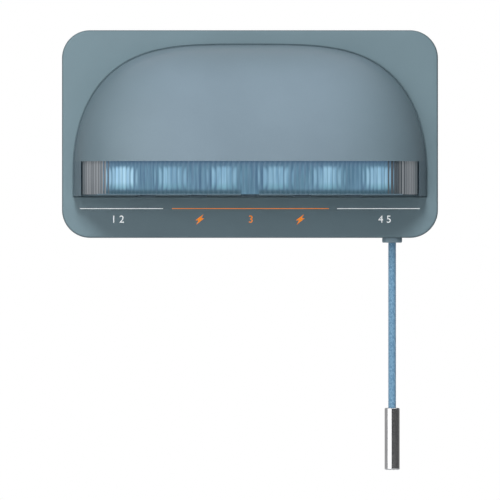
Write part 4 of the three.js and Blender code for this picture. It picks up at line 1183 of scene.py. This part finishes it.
def twisted_wire(route, start_angle, material):
    """One wire of a pair, wound round the pair's route."""
    middle = smooth_route(route)
    along = np.gradient(middle, axis=0)
    along /= np.linalg.norm(along, axis=1)[:, None]
    across = np.cross(along, (0, 1, 0) if abs(along[0, 1]) < 0.6 else (1, 0, 0))
    across /= np.linalg.norm(across, axis=1)[:, None]
    other = np.cross(along, across)
    length = np.concatenate([[0], np.cumsum(np.linalg.norm(np.diff(middle, axis=0), axis=1))])
    middle = middle + lead_radius * ring_round(across, other, start_angle + length / lead_twist * 2 * np.pi)

    def place(column, row):
        i = column.astype(int)
        spots = middle[i] + lead_radius * ring_round(across[i], other[i], row / lead_facets * 2 * np.pi)
        return spots[:, 0], spots[:, 1], spots[:, 2]

    wire = tidy(shaped_grid(lead_steps, lead_facets, place), "wire", 60)
    wire.data.materials.append(material)
    return wire


red_jacket = moulded_material("red_jacket", (150, 34, 32), 0.42, 2400.0, 0.15)
black_jacket = moulded_material("black_jacket", (34, 34, 37), 0.42, 2400.0, 0.15)
for name, route in lead_routes.items():
    pair = join([twisted_wire(route, 0.0, red_jacket), twisted_wire(route, math.pi, black_jacket)])
    pair.name = pair.data.name = f"twisted_{name}"
    finish_piece(pair, None, "housing", "wire_jacket", name)


# Printed marks on the plate's lower band, in white and orange pad-printing ink: three thin lines, the
# numbers of the brush places, and a plain lightning bolt for charging beside each middle place. The
# ink glows a little, painted light that keeps it bright in the shade under the hood.

ink_thickness = 0.00006
line_z = -0.0448
line_thickness = 0.0004
bolt_height = 0.0064
digit_z = -0.0514
digit_size = 0.0062


def ink(name, *rgb):
    """Slightly uneven printing ink, with a faint painted glow that keeps it bright in shade."""
    material, coords = new_finish(name)
    cover = noise(coords, 900.0, 2.0)
    bright = srgb(*rgb)
    dull = tuple(0.93 * value for value in bright[:3]) + (1,)
    colour = mix(ramp(cover, 0.3, 0.7), dull, bright)
    finish_material(
        material,
        Base_Color=colour,
        Roughness=ramp(cover, 0.3, 0.7, 0.4, 0.55),
        Emission_Color=colour,
        Emission_Strength=0.4,
    )
    return material


def flat_mark(outline):
    """An outline of x and z, as a thin layer on the plate."""
    return prism([(x, plate_front_y, z) for x, z in outline], (0, -ink_thickness, 0))


def digits(text, x):
    """Numbers set in the built-in upright face, as a thin layer on the plate."""
    deselect()
    middle = (x, plate_front_y - ink_thickness / 2, digit_z)
    bpy.ops.object.text_add(location=middle, rotation=(math.pi / 2, 0, 0))
    obj = bpy.context.object
    obj.data.body = text
    obj.data.size = digit_size
    obj.data.align_x = "CENTER"
    obj.data.align_y = "CENTER"
    obj.data.extrude = ink_thickness / 2
    bpy.ops.object.convert(target="MESH")
    bpy.ops.object.transform_apply(location=True, rotation=True, scale=True)
    return bpy.context.object


def line(start_x, end_x):
    """One thin printed line."""
    low, high = line_z - line_thickness / 2, line_z + line_thickness / 2
    return flat_mark([(start_x, low), (end_x, low), (end_x, high), (start_x, high)])


def bolt(x):
    """A plain lightning bolt."""
    shape = [(0.36, 0.5), (-0.42, -0.08), (-0.1, -0.08), (-0.36, -0.5), (0.42, 0.12), (0.12, 0.12)]
    return flat_mark([(x + px * bolt_height, digit_z + pz * bolt_height) for px, pz in shape])


white_ink = ink("white_ink", 250, 252, 252)
orange_ink = ink("orange_ink", 255, 142, 28)
white = [line(-0.1022, -0.0523), line(0.0523, 0.1022), digits("1 2", -0.0795), digits("4 5", 0.081)]
finish_piece(tidy(join(white), "white_marks", 30), white_ink, "housing", "shell_plastic")
orange = [line(-0.0469, 0.0475), bolt(-0.0302), bolt(0.0302), digits("3", 0.0005)]
finish_piece(tidy(join(orange), "orange_marks", 30), orange_ink, "housing", "shell_plastic")


# Studio. One soft lamp stands high in front, a little to the left, and an even pale surround together
# with broad weak ones in front and behind fills the rest. Upright cards stand round about and are seen
# only in reflections. A pale floor lies underneath.

lamp_target = Vector((0, -0.03, 0))
card_distance = 1.3
card_height = 2.4
card_columns = 12
floor_size = 1.6
floor_z = -0.27


def studio_lamp(name, place, size, energy):
    """A round soft lamp aimed at the body, that no glossy surface shows."""
    bpy.ops.object.light_add(type="AREA", location=place)
    lamp = bpy.context.object
    lamp.name = name
    lamp.data.shape = "DISK"
    lamp.data.size = size
    lamp.data.energy = energy
    lamp.rotation_euler = (lamp_target - Vector(place)).to_track_quat("-Z", "Y").to_euler()
    lamp.visible_glossy = False


def card(name, start_angle, end_angle, grey):
    """An upright card between two directions, measured from the front towards the right."""

    def place(column, row):
        angle = np.radians(start_angle + (end_angle - start_angle) * column / card_columns)
        return card_distance * np.sin(angle), -card_distance * np.cos(angle), card_height * (row - 0.5)

    obj = shaped_grid(card_columns, 1, place)
    obj.name = name
    material = new_material(name)
    finish_material(
        material,
        Base_Color=(0, 0, 0, 1),
        Specular_IOR_Level=0.0,
        Emission_Color=(grey, grey, grey, 1),
        Emission_Strength=1.0,
    )
    obj.data.materials.append(material)
    obj.visible_camera = obj.visible_diffuse = obj.visible_shadow = obj.visible_transmission = False


studio_lamp("key_lamp", (-0.12, -1.75, 1.4), 0.75, 36.5)
studio_lamp("front_fill", (-0.9, -2.2, 0.1), 1.4, 11.5)
studio_lamp("rear_fill", (0, 2.4, -0.05), 1.2, 32)

world = bpy.data.worlds.new("pale_surround")
scene.world = world
world.use_nodes = True
tree = world.node_tree
tree.nodes.clear()
path = put(tree, "LightPath").outputs
seen = calc("MAXIMUM", path["Is Camera Ray"], path["Is Transmission Ray"])
seen = calc("MAXIMUM", seen, path["Is Glossy Ray"])
surround = mix(seen, (0.125, 0.14, 0.155, 1), (1, 1, 1, 1))
background = put(tree, "Background", {"Color": surround, "Strength": 1.0})
put(tree, "OutputWorld", {0: background.outputs[0]})

card("dark_card", -8, 112, 0.09)
card("side_card", 112, 180, 0.175)
card("white_card", -69, -8, 1.85)
card("grey_card", -180, -69, 0.365)

deselect()
bpy.ops.mesh.primitive_plane_add(size=floor_size, location=(0, 0, floor_z))
floor = bpy.context.object
floor.name = "floor"
floor_material = new_material("pale_floor")
tree = floor_material.node_tree
seen = put(tree, "LightPath").outputs["Is Camera Ray"]
floor_inputs = {
    "Base Color": (0.82, 0.82, 0.82, 1),
    "Roughness": 0.8,
    "Specular IOR Level": 0.0,
    "Emission Color": mix(seen, (0, 0, 0, 1), (0.42, 0.42, 0.42, 1)),
    "Emission Strength": 1.0,
}
floor_shader = put(tree, "BsdfPrincipled", floor_inputs).outputs[0]
# Seen from underneath, the floor isn't there
from_below = put(tree, "NewGeometry").outputs["Backfacing"]
clear = put(tree, "BsdfTransparent").outputs[0]
one_sided = put(tree, "MixShader", {0: from_below, 1: floor_shader, 2: clear})
put(tree, "OutputMaterial", {0: one_sided.outputs[0]})
floor.data.materials.append(floor_material)
